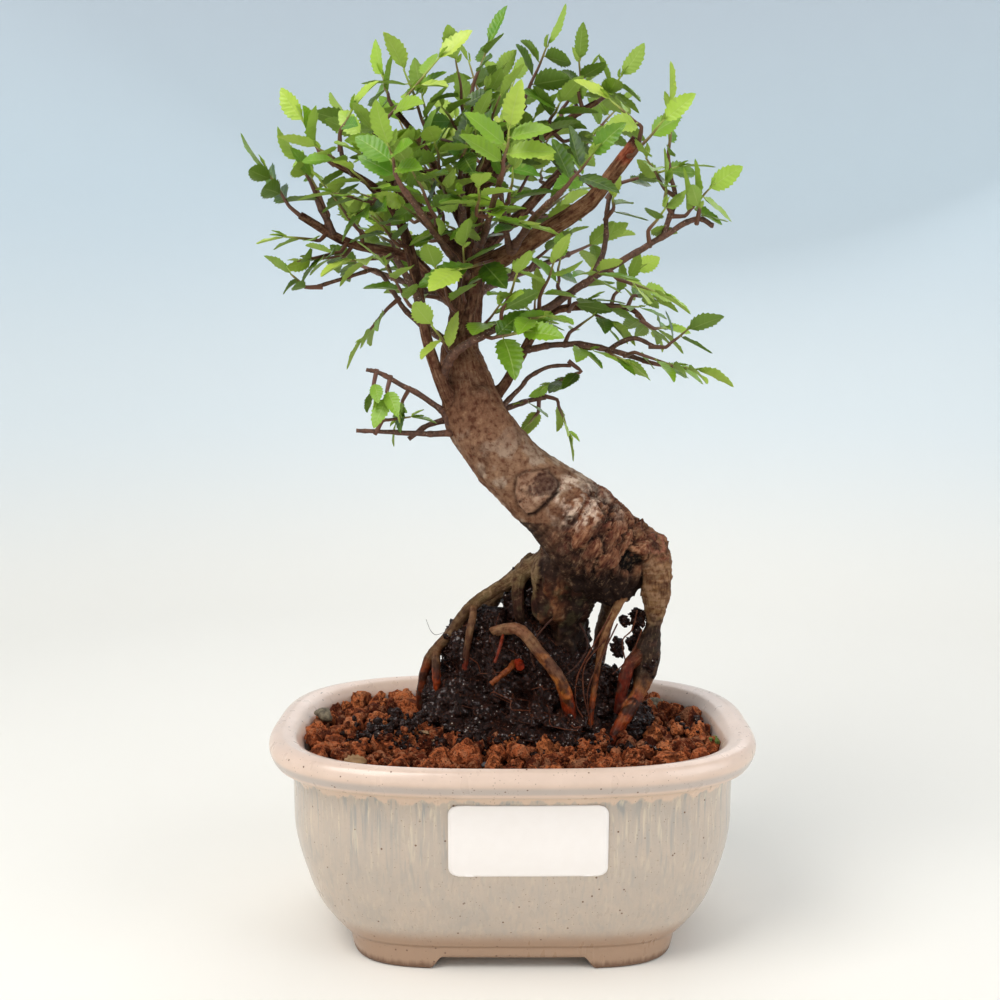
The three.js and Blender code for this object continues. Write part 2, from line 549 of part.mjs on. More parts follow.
// Every leaf of a twig, in turn on its two sides, with one at its tip
function leafFrames(spray, index) {
  const random = seeded(1000 + 77 * index);
  const [, , , count, size] = spray;
  const route = stemRoute(spray);
  return Array.from({ length: count }, (_, i) => {
    const isTip = i === count - 1;
    const sideways = i % 2 ? 1 : -1;
    const place = isTip ? HABIT.tip : HABIT.first + (HABIT.spread * i) / (count - 1);
    const { point, along } = placeOn(route, place);
    const outward = unit([point[0] - CANOPY_AXIS[0], point[1] - CANOPY_AXIS[1], 0]);
    const facing = unit(add([0, 0, HABIT.faceUp], outward, HABIT.faceOut));
    const lateral = unit(cross(along, facing));
    const stray = random() - 0.5;
    const lean = isTip ? HABIT.tipLeanVaries * stray : sideways * (HABIT.lean + HABIT.leanVaries * stray);
    const droop = HABIT.droop + HABIT.droopVaries * random();
    const outOfStem = add(add([0, 0, 0], along, Math.cos(lean)), lateral, Math.sin(lean));
    const direction = unit(add(outOfStem, [0, 0, -1], droop));
    const upright = add(facing, lateral, HABIT.tiltVaries * (random() - 0.5));
    const normal = unit(add(upright, direction, -dot(upright, direction)));
    const length = size * (isTip ? 1 : HABIT.shortest + HABIT.lengthVaries * random());
    return { point, direction, normal, length };
  });
}

// A leaf frame turned about its rib and shortened
function turned(frame, degrees, shorten) {
  const angle = (degrees * Math.PI) / 180;
  const side = cross(frame.normal, frame.direction);
  const normal = add(add([0, 0, 0], frame.normal, Math.cos(angle)), side, Math.sin(angle));
  return { ...frame, normal, length: frame.length * shorten };
}

function leafTests(frame) {
  const side = cross(frame.normal, frame.direction);
  return LEAF_TESTS.map(([along, across]) => (
    add(add(frame.point, frame.direction, along * frame.length), side, across * frame.length)));
}

// Every stretch of wood as two ends with their radii
const WOOD_SPANS = Object.values(LIMBS).flatMap((points) => (
  points.slice(1).map((point, i) => [points[i], point])));

function clearOfWood(point) {
  return WOOD_SPANS.every(([a, b]) => {
    const span = add(b, a, -1);
    const place = Math.min(Math.max(dot(add(point, a, -1), span) / dot(span, span), 0), 1);
    const radius = a[3] + (b[3] - a[3]) * place;
    return Math.hypot(...add(point, add(a, span, place), -1)) > radius + WOOD_CLEARANCE;
  });
}

// The leaves of every twig; one that would touch another twig or the wood is turned clear or left out
function growLeaves() {
  const taken = [];
  SPRAYS.forEach((spray, owner) => {
    const route = stemRoute(spray);
    for (let step = 0; step <= 12; step += 1) {
      taken.push({ owner, point: placeOn(route, step / 12).point, sister: 0 });
    }
  });
  return SPRAYS.map((spray, owner) => {
    const kept = [];
    for (const frame of leafFrames(spray, owner)) {
      const fits = ([degrees, shorten]) => leafTests(turned(frame, degrees, shorten)).every((point) => (
        clearOfWood(point) && taken.every((other) => {
          const needed = other.owner === owner ? other.sister : LEAF_CLEARANCE;
          return Math.hypot(...add(point, other.point, -1)) > needed;
        })));
      const choice = LEAF_TRIES.find(fits);
      if (choice) {
        const leaf = turned(frame, ...choice);
        kept.push(leaf);
        taken.push(...leafTests(leaf).map((point) => ({ owner, point, sister: SISTER_CLEARANCE })));
      }
    }
    return kept;
  });
}

// One side of a leaf's outline, base to tip, as parts of its length: along, across; two teeth point forward
const LEAF_EDGE = [[0.3, 0.26], [0.35, 0.235], [0.64, 0.24], [0.68, 0.185]];

// A toothed blade, folded a little along its rib and arched down to its tip
function leafBlade({ point, direction, normal, length }) {
  const side = cross(normal, direction);
  const { thick, fold, arch } = BLADE;
  const at = (along, across, drop = 0) => {
    const rise = (fold * Math.abs(across) - arch * along ** 2) * length - drop;
    return add(add(add(point, direction, along * length), side, across * length), normal, rise);
  };
  const left = LEAF_EDGE.map(([along, across]) => at(along, across));
  const right = LEAF_EDGE.map(([along, across]) => at(along, -across)).reverse();
  const under = [at(0, 0, thick / 2), at(0.5, 0.22, thick), at(0.97, 0, thick), at(0.5, -0.22, thick)];
  const points = [at(0, 0), ...left, at(1, 0), ...right, at(0.5, 0), ...under];
  const faces = [[11, 14, 12], [12, 14, 13]];
  for (let i = 0; i < 10; i += 1) {
    faces.push([10, i, (i + 1) % 10]);
  }
  // The rim, stitched edge by edge to the four corners of the underside
  const rim = [11, 12, 12, 13, 13, 13, 13, 14, 14, 11];
  rim.forEach((corner, i) => faces.push([i, corner, (i + 1) % 10]));
  faces.push([1, 11, 12], [3, 12, 13], [7, 13, 14], [9, 14, 11]);
  return solid(points, faces);
}

// A stem with three sides and its leaves, as one body
function makeSpray(spray, leaves) {
  const stem = stemRoute(spray).map((point, i) => [...point, STEM_RADIUS - 0.05 * i]);
  return union([limb(stem, 3), ...leaves.map(leafBlade)]);
}

// A named mesh from a solid, in its own finish
function mesh(name, body, finish) {
  const { vertProperties, triVerts } = body.getMesh();
  const geometry = new THREE.BufferGeometry();
  geometry.setAttribute('position', new THREE.BufferAttribute(new Float32Array(vertProperties), 3));
  geometry.setIndex(new THREE.BufferAttribute(new Uint32Array(triVerts), 1));
  geometry.computeVertexNormals();
  const material = new THREE.MeshStandardMaterial({ metalness: 0, ...FINISHES[finish] });
  const made = new THREE.Mesh(geometry, material);
  made.name = name;
  return made;
}

const bonsai = new THREE.Group();
const holes = rootHoles();
bonsai.add(mesh('pot', makePot(), 'pot'));
bonsai.add(mesh('drain_mesh', makeDrainMesh(), 'mesh'));
bonsai.add(mesh('soil', makeSoil(holes), 'grains'));
bonsai.add(mesh('peat', peatMound().subtract(holes), 'peat'));
bonsai.add(mesh('tree_wood', makeWood(), 'bark'));
bonsai.add(mesh('label', makeLabel(), 'paper'));
growLeaves().forEach((leaves, i) => {
  const name = `spray_${String(i + 1).padStart(2, '0')}`;
  bonsai.add(mesh(name, makeSpray(SPRAYS[i], leaves), 'leaf'));
});

// The origin is under the middle of the whole piece, on the surface it stands on
const extent = new THREE.Box3().setFromObject(bonsai);
const middle = extent.getCenter(new THREE.Vector3());
bonsai.position.set(-middle.x, -middle.y, 0);
bonsai.updateMatrixWorld(true);

export default bonsai;
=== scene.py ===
import json
import math

import bmesh
import bpy
import numpy as np
from mathutils import Matrix, Vector, noise
from mathutils.bvhtree import BVHTree

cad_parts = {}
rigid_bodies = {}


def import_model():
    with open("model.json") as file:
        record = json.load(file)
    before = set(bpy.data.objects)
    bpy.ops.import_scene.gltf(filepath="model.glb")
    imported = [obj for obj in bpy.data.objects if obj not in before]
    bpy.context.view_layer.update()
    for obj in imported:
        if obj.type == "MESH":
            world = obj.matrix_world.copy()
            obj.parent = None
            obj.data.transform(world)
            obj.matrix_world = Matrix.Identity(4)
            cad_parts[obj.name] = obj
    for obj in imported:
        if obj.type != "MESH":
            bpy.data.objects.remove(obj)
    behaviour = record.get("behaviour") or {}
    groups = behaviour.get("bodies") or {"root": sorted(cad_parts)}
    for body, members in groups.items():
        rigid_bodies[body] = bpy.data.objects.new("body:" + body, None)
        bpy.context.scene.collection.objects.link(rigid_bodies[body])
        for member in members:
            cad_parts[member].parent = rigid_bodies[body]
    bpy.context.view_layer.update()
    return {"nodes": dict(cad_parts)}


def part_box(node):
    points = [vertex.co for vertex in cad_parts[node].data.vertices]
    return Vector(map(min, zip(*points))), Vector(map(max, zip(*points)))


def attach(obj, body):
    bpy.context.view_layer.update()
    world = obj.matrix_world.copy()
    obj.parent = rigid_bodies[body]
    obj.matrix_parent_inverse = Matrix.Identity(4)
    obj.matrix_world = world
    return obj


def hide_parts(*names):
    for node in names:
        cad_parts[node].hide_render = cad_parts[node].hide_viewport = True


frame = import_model()

# Every length below is in millimetres from the middle of the pot, on the surface that it stands on
MM = 0.001
POT_LOW, POT_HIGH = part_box("pot")
HOME = np.array([(POT_LOW[0] + POT_HIGH[0]) / 2, (POT_LOW[1] + POT_HIGH[1]) / 2, 0.0])
UP = np.array([0.0, 0.0, 1.0])

# The pot's sections, from the underside up: height, half length, half depth, squareness
POT_OUTSIDE = [
    (6.2, 43.6, 32.4, 4.3), (6.8, 45, 32.8, 4.2), (12.8, 50.2, 35.5, 3.8), (20, 53.4, 37.6, 3.6),
    (31, 56.4, 39.5, 3.4), (45.2, 57.2, 40.6, 3.2), (48.2, 61.3, 43.5, 3.1), (51.6, 63, 45.5, 3),
    (54, 62.3, 44.6, 3), (54.7, 60.6, 43.3, 3),
]
POT_INSIDE = [
    (8, 41, 29, 4), (13, 46.8, 32.6, 3.8), (26, 50.8, 35.4, 3.5), (48, 53.6, 38, 3.1), (53.4, 56, 40.2, 3),
    (54.7, 59, 42.2, 3),
]
FOOT_RING = [(0, 41.5, 32, 4.5), (4.2, 42.5, 32.15, 4.4)]
FLOOR_TOP = 8
UNDERSIDE = 3.3
FOOT_WIDTH = 8
FRONT_NOTCH = 38
END_NOTCH = 24
DRAIN_RADIUS = 8
BED_TOP = 49.7
LABEL = {"middle": 3.5, "width": 38, "low": 27.1, "high": 45.2, "corner": 2.4, "thick": 0.2}

# The old peat's mound, from inside the bed up: height, centre x, centre y, half length, half depth
PEAT = [
    (44, 5, 4, 33, 20), (51.5, 5, 5, 35, 22), (57, 5, 6, 31, 18), (64, 4, 8, 27, 14), (71, 2, 9, 22, 12),
    (78, -1, 10, 15, 9), (83, -1, 10, 8, 6),
]
PEAT_MIDDLE = np.array([5, 6, 55])

# The wood, as routes of points along each limb: x, y, z, radius
LIMBS = {
    "trunk": [(29, 4, 90, 5), (26, 2, 95, 10), (20.5, 0, 103, 11.6), (15, 0, 109, 10.6),
        (7.5, 0, 115, 9.3), (0, 0, 122, 8.6), (-6, 0, 129.5, 8.4), (-10, 1, 137, 7.8), (-12, 2, 146, 6.1),
        (-13.5, 3, 154, 4.9), (-11, 3, 168, 3.6), (-10, 5, 187, 2.7), (-7.5, 7, 198, 2.2),
        (2.5, 10, 216, 1.6)],
    "root_left": [(14, 3, 100.5, 4.3), (9.5, 4, 97.5, 2.7), (0.5, 6, 91, 1.9), (-10.5, 8, 83.5, 1.6),
        (-17, 8, 75, 1.5), (-22.5, 8, 68.5, 1.4), (-24.5, 8, 60.5, 1.4), (-25.5, 10, 48.5, 1.1)],
    "root_left_fork": [(-20.5, 8, 71, 1.1), (-20.5, 4, 67, 1.2), (-20, 3, 62, 1.2), (-19.5, 5, 53, 1)],
    "root_left_drop": [(-10.5, 8, 83, 1), (-10.5, 4, 81, 1), (-11.5, 2.5, 76, 1), (-12.5, 2, 68, 0.9),
        (-12.5, 3, 56, 0.8)],
    "root_stub": [(2.5, 5, 92, 1.7), (1.5, 3, 88, 1.7), (2, 3, 82, 1.5), (4, 8, 72, 1.2)],
    "root_arch": [(-9.5, 19, 76, 1.2), (-8, 11, 74.5, 1.3), (-4.5, 3, 77, 1.5), (-1, 0, 78.5, 1.5),
        (2.5, -3, 78.5, 1.6), (7.5, -6, 73, 1.6), (12.5, -8, 66.5, 1.7), (15, -8, 58, 1.8),
        (15.5, -8, 48.5, 1.3)],
    "root_centre": [(21, 4, 96.5, 8.3), (17, 4, 89.5, 6.7), (15, 5, 82.5, 5.4), (15, 6, 74, 4.2),
        (16.5, 7, 64, 3.3)],
    "root_right": [(30.5, 0, 103, 6.1), (36.5, -1, 98, 5), (38, -1, 89, 3.8), (37.5, -1, 80.5, 2.1),
        (37, -1, 77.5, 2.4), (36, -1, 73.5, 3.5), (35.5, -1, 69, 3.6), (33.5, -4, 62.5, 2),
        (29, -9, 56.5, 1.8), (24.5, -11, 48.5, 1.4)],
    "root_right_fork": [(34, -2, 72.5, 1.9), (31, -4, 70, 1.7), (29.5, -5, 66, 1.6), (28, -5, 57, 1.3)],
    "root_thin": [(33, 2, 95, 1.7), (28.5, -3, 87, 1.3), (24, -5, 77.5, 0.9), (22, -6, 67, 0.8),
        (20.5, -8, 57, 0.8), (20, -9, 48.5, 0.7)],
    "root_back": [(24, 8, 96, 4.5), (27, 15, 90, 3.4), (28, 21, 81, 2.6), (26, 24, 71, 2.2),
        (23, 26, 48.5, 1.4)],
    "root_back_left": [(6, 7, 95, 3.2), (0, 13, 89, 2.2), (-7, 18, 80, 1.9), (-12, 21, 70, 1.7),
        (-16, 23, 48.5, 1.2)],
    "great_limb": [(-10, 3, 172, 2.9), (1, -2, 177.5, 2.5), (16.5, -9, 186.5, 2.1), (21, -11, 190.5, 1.9),
        (30, -16, 202, 1.7)],
    "long_limb": [(-18.5, -3, 143, 1.4), (-16, -8, 149.5, 1.2), (-12, -10.5, 153, 1.1),
        (-0.5, -9, 159, 1.1), (8, -8, 162, 1.1), (19.5, -9, 169.5, 0.9), (32.5, -11, 177, 0.8),
        (44, -13, 183.5, 0.7), (49, -14, 182, 0.6)],
    "long_limb_twig": [(19.5, -9, 169.5, 0.8), (23, -7.5, 177, 0.7), (23.5, -6, 185.5, 0.6),
        (24.5, -5, 190.5, 0.6)],
    "long_limb_fork": [(37, -12, 180, 0.7), (39, -12, 185.5, 0.7), (40, -11, 189, 0.6),
        (39, -10, 194, 0.5)],
    "low_right": [(-6, 2, 138.5, 1.7), (-2, 4, 143, 1.4), (2, 5, 150, 1.3), (9.5, 7, 161.5, 1.1),
        (21, 8, 163.5, 0.9), (31, 8, 163, 0.7), (35, 8, 159.5, 0.6)],
    "low_reach": [(3, 5, 152, 1), (12.5, 1, 153.5, 0.8), (21, -1, 153, 0.8), (34.5, -3, 149, 0.6)],
    "low_reach_fork": [(24, -1, 151.5, 0.7), (30.5, -3, 155, 0.6), (36, -4, 153, 0.5)],
    "low_twig": [(-3, 2, 137, 0.8), (2, 4, 142, 0.6), (4.5, 4, 145, 0.6), (9.5, 4, 147.5, 0.5),
        (15.5, 4, 148, 0.5)],
    "low_snag": [(-4, 5, 136, 0.9), (4, 8, 138.5, 0.7), (9, 9, 139.5, 0.6)],
    "riser": [(-14, 0, 136, 2.6), (-17, -4, 141, 1.9), (-21, -7, 152, 1.4), (-23.5, -7, 164.5, 1.4),
        (-25.5, -6, 175.5, 1.4), (-29, -8, 185.5, 1.2), (-34.5, -10, 192, 0.9), (-44.5, -12, 197.5, 0.7)],
    "riser_fork": [(-39, -11, 194.5, 0.7), (-41.5, -12, 198, 0.6), (-42, -13, 201, 0.5)],
    "riser_snag": [(-21.5, -7, 158, 1), (-23.5, -11, 164.5, 0.9), (-29, -12, 174.5, 0.8)],
    "left_limb": [(-12, 3, 160.5, 2), (-23, 5, 173, 1.4), (-28, 5, 176.5, 1.4), (-40, 4, 179, 1.2),
        (-45.5, 2, 181, 1.2), (-54, -2, 186, 1)],
    "left_limb_fork": [(-46, 1, 181.5, 1), (-49, -1, 188.5, 0.9), (-50, -2, 191.5, 0.8)],
    "upper_left": [(-11.5, 3, 174.5, 1.6), (-24, 0, 186.5, 1.2), (-28, -3, 190.5, 1),
        (-35.5, -7, 200, 0.6)],
    "snag_low_a": [(-16, -1, 133, 1.1), (-20, -4, 138, 0.8), (-32.5, -7, 145.5, 0.6),
        (-37, -8, 147, 0.5)],
    "snag_low_b": [(-13, 0, 131.5, 1.1), (-19.5, -3, 130.5, 0.8), (-40, -6, 131.5, 0.5)],
    "snag_low_c": [(-15.5, 2, 134.5, 0.9), (-22, 0, 132.5, 0.7), (-27, -1, 129, 0.6)],
    "left_twig": [(-14, 4, 152.5, 1.3), (-22, 6, 157.5, 0.9), (-28.5, 5, 163, 0.7), (-34.5, 2, 172, 0.6),
        (-40.5, -1, 171, 0.5), (-49.5, -4, 168, 0.5)],
    "stub_up": [(-10.5, 2, 179, 1.4), (-12.5, -4, 184, 1.1), (-13, -6, 195, 0.9)],
    "thorn_up": [(-0.5, -4, 176.5, 1), (-1.5, -8, 181, 0.8), (-3, -10, 190.5, 0.6)],
    "crown_left": [(-10, 5, 179, 1.8), (-14, 4, 187.5, 1.6), (-22, 2, 202.5, 1), (-29.5, 0, 212, 0.7)],
    "crown_mid": [(-10, 6, 187.5, 1.7), (-12, 6, 195.5, 1.3), (-10.5, 4, 216, 0.7)],
    "crown_right": [(-8, 7, 196.5, 1.6), (0, 7, 201.5, 1.3), (15.5, 7, 212, 0.9), (22, 8, 216, 0.7)],
    "back_right": [(-10, 4, 175, 2), (-2.5, 16, 184, 1.6), (6, 25, 193, 1.4), (21.5, 36, 211, 0.8)],
    "back_left": [(-10, 4, 173, 1.8), (-17.5, 16, 182.5, 1.5), (-26, 25, 192, 1.2), (-40, 36, 208, 0.8)],
    "back_top": [(-10, 5, 182, 1.7), (-8.5, 20, 191.5, 1.5), (-6, 31, 203, 1.3), (-2, 44, 220.5, 0.8)],
    "back_low_right": [(-12, 4, 164, 1.4), (-4.5, 16, 170, 1.1), (16.5, 34, 179.5, 0.8)],
    "back_low_left": [(-12, 4, 161, 1.4), (-19.5, 16, 166.5, 1.1), (-40, 32, 175, 0.7)],
    "front_mid": [(-9.5, 2, 177, 1.3), (-7, -12, 180.5, 0.9), (-3, -30, 191, 0.7)],
    "front_left": [(-11, 2, 170, 1.3), (-16, -13, 176, 0.9), (-25.5, -31, 188.5, 0.7)],
    "front_right": [(-0.5, -2, 176, 1.1), (4.5, -15, 183, 0.9), (11, -24, 188.5, 0.7)],
}

# Knots, burrs and healed cuts on the wood: x, y, z, size across, height
KNOBS = [
    (7, -7.5, 114, 5, 3.4), (33, -6, 100, 5.5, 5), (38.5, 1, 101.5, 5, 5.5), (24, -8, 108, 5, 4),
    (16, 7, 112, 6, 5), (27, 8, 101, 6, 6), (-16, -2, 137, 4, 4.5), (10, 2, 101, 6, 6),
    (38.5, -3, 90.5, 3.4, 2.6), (-8, -6, 141, 4, 3.4), (10.5, 1, 92.5, 11, 14), (9.5, 2, 85, 9, 12),
]

# The leafy twigs: limb, place along it from 0 to 1, the twig's tip, leaves, leaf length
SPRAYS = [
    ("left_limb", 1, (-62, -5, 197), 5, 10.5),
    ("left_limb", 0.74, (-54, -7, 174), 4, 9.5),
    ("left_limb", 0.42, (-38, 12, 188), 4, 10),
    ("left_limb_fork", 1, (-54, -4, 199), 4, 9.5),
    ("riser", 1, (-51, -13, 207), 5, 10.5),
    ("riser", 0.8, (-38, -18, 184), 4, 10),
    ("riser_fork", 1, (-39, -15, 209), 4, 10),
    ("upper_left", 1, (-18, -12, 222), 6, 11),
    ("upper_left", 0.62, (-39, 4, 207), 4, 10),
    ("upper_left", 0.35, (-28, -14, 193), 4, 11),
    ("crown_left", 1, (-33, 2, 221), 5, 11),
    ("crown_left", 0.6, (-24, -12, 203), 4, 11),
    ("crown_mid", 1, (-6, 2, 229), 5, 10.5),
    ("crown_mid", 0.6, (-23, 14, 209), 4, 10.5),
    ("trunk", 1, (9, 8, 230), 6, 11.5),
    ("trunk", 0.93, (-7, 0, 218), 4, 10),
    ("crown_right", 1, (28, 6, 222), 4, 10),
    ("crown_right", 0.72, (21, 12, 226), 5, 10.5),
    ("crown_right", 0.45, (12, -2, 202), 4, 11),
    ("great_limb", 1, (23, -18, 211), 3, 10),
    ("great_limb", 0.93, (35, -24, 205), 3, 10),
    ("great_limb", 0.72, (11, -14, 198), 4, 10.5),
    ("great_limb", 0.13, (-13, -20, 171), 3, 13),
    ("long_limb_twig", 1, (41, -8, 197), 6, 9.5),
    ("long_limb_fork", 1, (38, -14, 210), 5, 11),
    ("long_limb_fork", 0.35, (48, -12, 191), 5, 10.5),
    ("long_limb", 0.66, (35, -15, 166), 4, 10.5),
    ("long_limb", 0.5, (12, -3, 175), 4, 9.5),
    ("low_right", 0.82, (33, 12, 173), 4, 9.5),
    ("low_right", 1, (41, 11, 158), 4, 9.5),
    ("low_reach", 1, (47, -6, 147), 5, 10.5),
    ("low_reach_fork", 1, (44, -8, 157), 4, 10.5),
    ("low_snag", 1, (15, 7, 130), 3, 8),
    ("snag_low_a", 0.55, (-30, -2, 134), 4, 8),
    ("left_twig", 1, (-56, -6, 171), 3, 8),
    ("left_twig", 0.45, (-39, 2, 155), 4, 9.5),
    ("trunk", 0.52, (-20, -14, 158), 3, 10.5),
    ("long_limb", 0.24, (2, -18, 156), 4, 12),
    ("stub_up", 1, (-11, -12, 203), 4, 10.5),
    ("thorn_up", 1, (1, -14, 200), 4, 10.5),
    ("front_mid", 1, (-1, -37, 201), 5, 11),
    ("front_left", 1, (-28, -37, 197), 5, 11),
    ("front_right", 1, (18, -30, 196), 5, 11),
    ("back_right", 1, (30, 43, 221), 5, 11),
    ("back_right", 0.5, (17, 35, 197), 4, 10.5),
    ("back_left", 1, (-47, 42, 219), 5, 11),
    ("back_left", 0.5, (-38, 34, 194), 4, 10.5),
    ("back_top", 1, (1, 49, 231), 5, 11),
    ("back_top", 0.6, (-16, 38, 218), 5, 10.5),
    ("back_low_right", 1, (28, 42, 185), 5, 10.5),
    ("back_low_left", 1, (-51, 38, 180), 5, 10.5),
]

# Further leafy twigs that the model has no solids for, set down in the same way
EXTRA_TWIGS = [
    ("riser", 0.93, (-47, -18, 200), 4, 10), ("riser", 0.8, (-43, -20, 189), 4, 10.5),
    ("left_limb", 0.66, (-48, -8, 194), 4, 10), ("left_limb", 0.85, (-57, -8, 180), 3, 8.5),
    ("left_limb", 0.5, (-41, -8, 174), 4, 10), ("riser", 0.62, (-34, -18, 184), 4, 10.5),
    ("upper_left", 0.3, (-27, -14, 187), 4, 10.5), ("upper_left", 0.75, (-33, -14, 204), 5, 10.5),
    ("crown_left", 0.35, (-19, -10, 194), 4, 11),
    ("crown_left", 0.75, (-27, -6, 221), 5, 10.5), ("crown_left", 0.5, (-19, -14, 202), 4, 11),
    ("crown_mid", 0.35, (-9, -8, 208), 4, 11), ("crown_mid", 0.8, (-14, -6, 223), 5, 10),
    ("crown_mid", 0.55, (-3, -4, 215), 4, 10.5), ("stub_up", 0.6, (-13, -18, 189), 4, 11),
    ("stub_up", 0.3, (-5, -22, 184), 4, 10.5), ("thorn_up", 0.45, (2, -20, 182), 4, 10.5),
    ("thorn_up", 0.8, (0, -18, 195), 4, 11),
    ("crown_right", 0.3, (7, 2, 207), 4, 11), ("crown_right", 0.6, (12, 0, 214), 5, 10.5),
    ("crown_right", 0.88, (17, 2, 225), 5, 10), ("crown_right", 1, (24, 6, 218), 4, 10),
    ("long_limb_fork", 0.7, (32, -16, 198), 4, 10),
    ("long_limb_twig", 0.75, (25, -8, 190), 3, 9), ("long_limb", 0.8, (37, -16, 186), 3, 9),
    ("long_limb", 0.95, (45, -16, 186), 3, 8.5),
    ("long_limb", 0.6, (21, -16, 171), 4, 10), ("long_limb", 0.42, (10, -18, 173), 4, 10),
    ("long_limb", 0.35, (8, -18, 160), 4, 10), ("long_limb", 0.3, (1, -20, 170), 4, 10.5),
    ("trunk", 0.6, (-19, -14, 172), 4, 11), ("trunk", 0.62, (-12, -16, 177), 4, 11),
    ("trunk", 0.56, (-3, -14, 163), 4, 10.5), ("riser", 0.4, (-31, -16, 172), 4, 10),
    ("low_right", 0.62, (20, 4, 165), 4, 10), ("low_right", 0.72, (26, 2, 159), 4, 9.5),
    ("low_right", 0.9, (36, 8, 166), 4, 9), ("low_reach", 0.45, (20, -6, 152), 4, 9),
    ("low_reach", 0.7, (29, -8, 149), 4, 9), ("low_reach", 0.85, (41, -6, 148), 3, 9),
    ("low_twig", 1, (10, 4, 143), 4, 9), ("low_snag", 0.6, (2, 6, 138), 3, 8),
    ("low_snag", 0.85, (4, 8, 132), 3, 7.5), ("snag_low_a", 0.75, (-30, -8, 137), 4, 8),
    ("snag_low_a", 0.9, (-35, -8, 140), 3, 7), ("snag_low_b", 0.8, (-26, -6, 135), 3, 7),
    ("low_right", 0.4, (6, 0, 165), 3, 9), ("back_top", 0.35, (-3, 30, 214), 5, 11),
    ("back_left", 0.35, (-31, 26, 215), 5, 11), ("back_right", 0.35, (13, 26, 215), 5, 11),
    ("back_top", 0.8, (-12, 36, 233), 5, 11), ("back_low_right", 0.5, (13, 26, 191), 5, 11),
    ("back_low_left", 0.5, (-35, 26, 185), 5, 11),
    ("back_low_left", 0.8, (-48, 28, 194), 5, 11), ("front_mid", 0.6, (-8, -30, 189), 4, 10.5),
    ("front_left", 0.6, (-24, -28, 194), 4, 10.5),
]

# Crown limbs that carry still more by a rule: where along the limb they start, and how far apart they are
SIDE_TWIGS = {
    "trunk": (0.72, 5), "crown_left": (0.25, 6.5), "crown_mid": (0.15, 5.5), "crown_right": (0.15, 7),
    "upper_left": (0.35, 8.5), "left_limb": (0.5, 11), "riser": (0.7, 12), "stub_up": (0.4, 8),
    "long_limb_fork": (0.4, 12), "low_right": (0.62, 9), "low_reach": (0.35, 14), "back_right": (0.3, 9),
    "back_left": (0.3, 9), "back_top": (0.25, 6.5), "back_low_right": (0.35, 14), "back_low_left": (0.35, 13),
}
SIDE_TWIG_REACH = (7, 14)
SIDE_TWIG_TURN = 2.4
CROWN_LOW = (-58, -38, 150)
CROWN_HIGH = (52, 45, 232)
CROWN_OUTLINE_X = [-70, -54, -42, -33, -31, -10, -3, 12, 22, 25, 32, 36, 44, 48, 57]
CROWN_OUTLINE_Z = [187, 201, 203, 207, 218, 222, 228, 227, 223, 214, 208, 213, 212, 201, 186]

# How a leafy stem starts, and how leaves sit on it: places from 0 to 1 along it, angles in radians
GAP = 0.35
KNEE_REACH = 2.5
KNEE_TURN = 0.7
FIRST_LEAF = 0.3
ROOTED = 1.9
LEAF_SPREAD = 0.64
TIP_LEAF = 0.98
LEAN = 0.95
LEAN_VARIES = 0.35
TIP_LEAN_VARIES = 0.3
DROOP = 0.1
DROOP_VARIES = 0.2
TILT_VARIES = 0.5
FACE_UP = 0.62
FACE_OUT = 0.85
SHORTEST = 0.88
LENGTH_VARIES = 0.3
CANOPY_AXIS = (-4, 4)
LEAF_CLEARANCE = 2.9
SISTER_CLEARANCE = 1.8
WOOD_CLEARANCE = 1.3
CLOSE_LEAF_CLEARANCE = 1.1
CLOSE_WOOD_CLEARANCE = 0.5
LEAF_TESTS = np.array([
    (0.3, 0), (0.4, 0.24), (0.4, -0.24), (0.62, 0), (0.7, 0.2), (0.7, -0.2), (0.88, 0), (1, 0),
])
LEAF_TRIES = [
    (0, 1), (28, 1), (-28, 1), (55, 0.95), (-55, 0.95), (85, 0.85), (-85, 0.85), (180, 0.85), (120, 0.75),
    (-120, 0.75), (0, 0.7), (90, 0.65),
]


def unit(vector):
    return vector / np.linalg.norm(vector)


def seeded(seed):
    """A repeatable stream of numbers from 0 to 1, the same as the model's own."""
    state = seed

    def draw():
        nonlocal state
        state = (state * 1664525 + 1013904223) % 4294967296
        return state / 4294967296

    return draw


def smooth_route(points, steps):
    """A smooth route through points, with a number of steps in each stretch."""
    points = np.array(points, dtype=float)
    last = len(points) - 1
    route = []
    for i in range(last):
        p0, p1, p2, p3 = (points[min(max(i + k, 0), last)] for k in (-1, 0, 1, 2))
        for step in range(steps):
            t = step / steps
            bend = (2 * p0 - 5 * p1 + 4 * p2 - p3) * t ** 2 + (3 * p1 - p0 - 3 * p2 + p3) * t ** 3
            route.append(0.5 * (2 * p1 + (p2 - p0) * t + bend))
    route.append(points[last])
    return np.array(route)


def place_on(route, place):
    """The point and direction at a place from 0 to 1 along a route."""
    route = np.array(route, dtype=float)
    spans = np.linalg.norm(np.diff(route[:, :3], axis=0), axis=1)
    left = place * spans.sum()
    i = 0
    while i < len(spans) - 1 and left > spans[i]:
        left -= spans[i]
        i += 1
    share = min(left / spans[i], 1)
    return route[i] + (route[i + 1] - route[i]) * share, unit(route[i + 1, :3] - route[i, :3])


def stem_route(twig):
    """Base, knee and tip of a leafy stem: it leaves the limb's side squarely, or goes on from its end."""
    name, place, tip = twig[:3]
    tip = np.array(tip, dtype=float)
    point, along = place_on(LIMBS[name], place)
    towards = unit(tip - point[:3])
    at_end = place == 1
    square = along if at_end else unit(towards - along * np.dot(along, towards))
    base = point[:3] + square * (2 * GAP if at_end else point[3] + GAP)
    knee = base + unit(square + towards * KNEE_TURN) * KNEE_REACH
    return np.array([base, knee, tip])


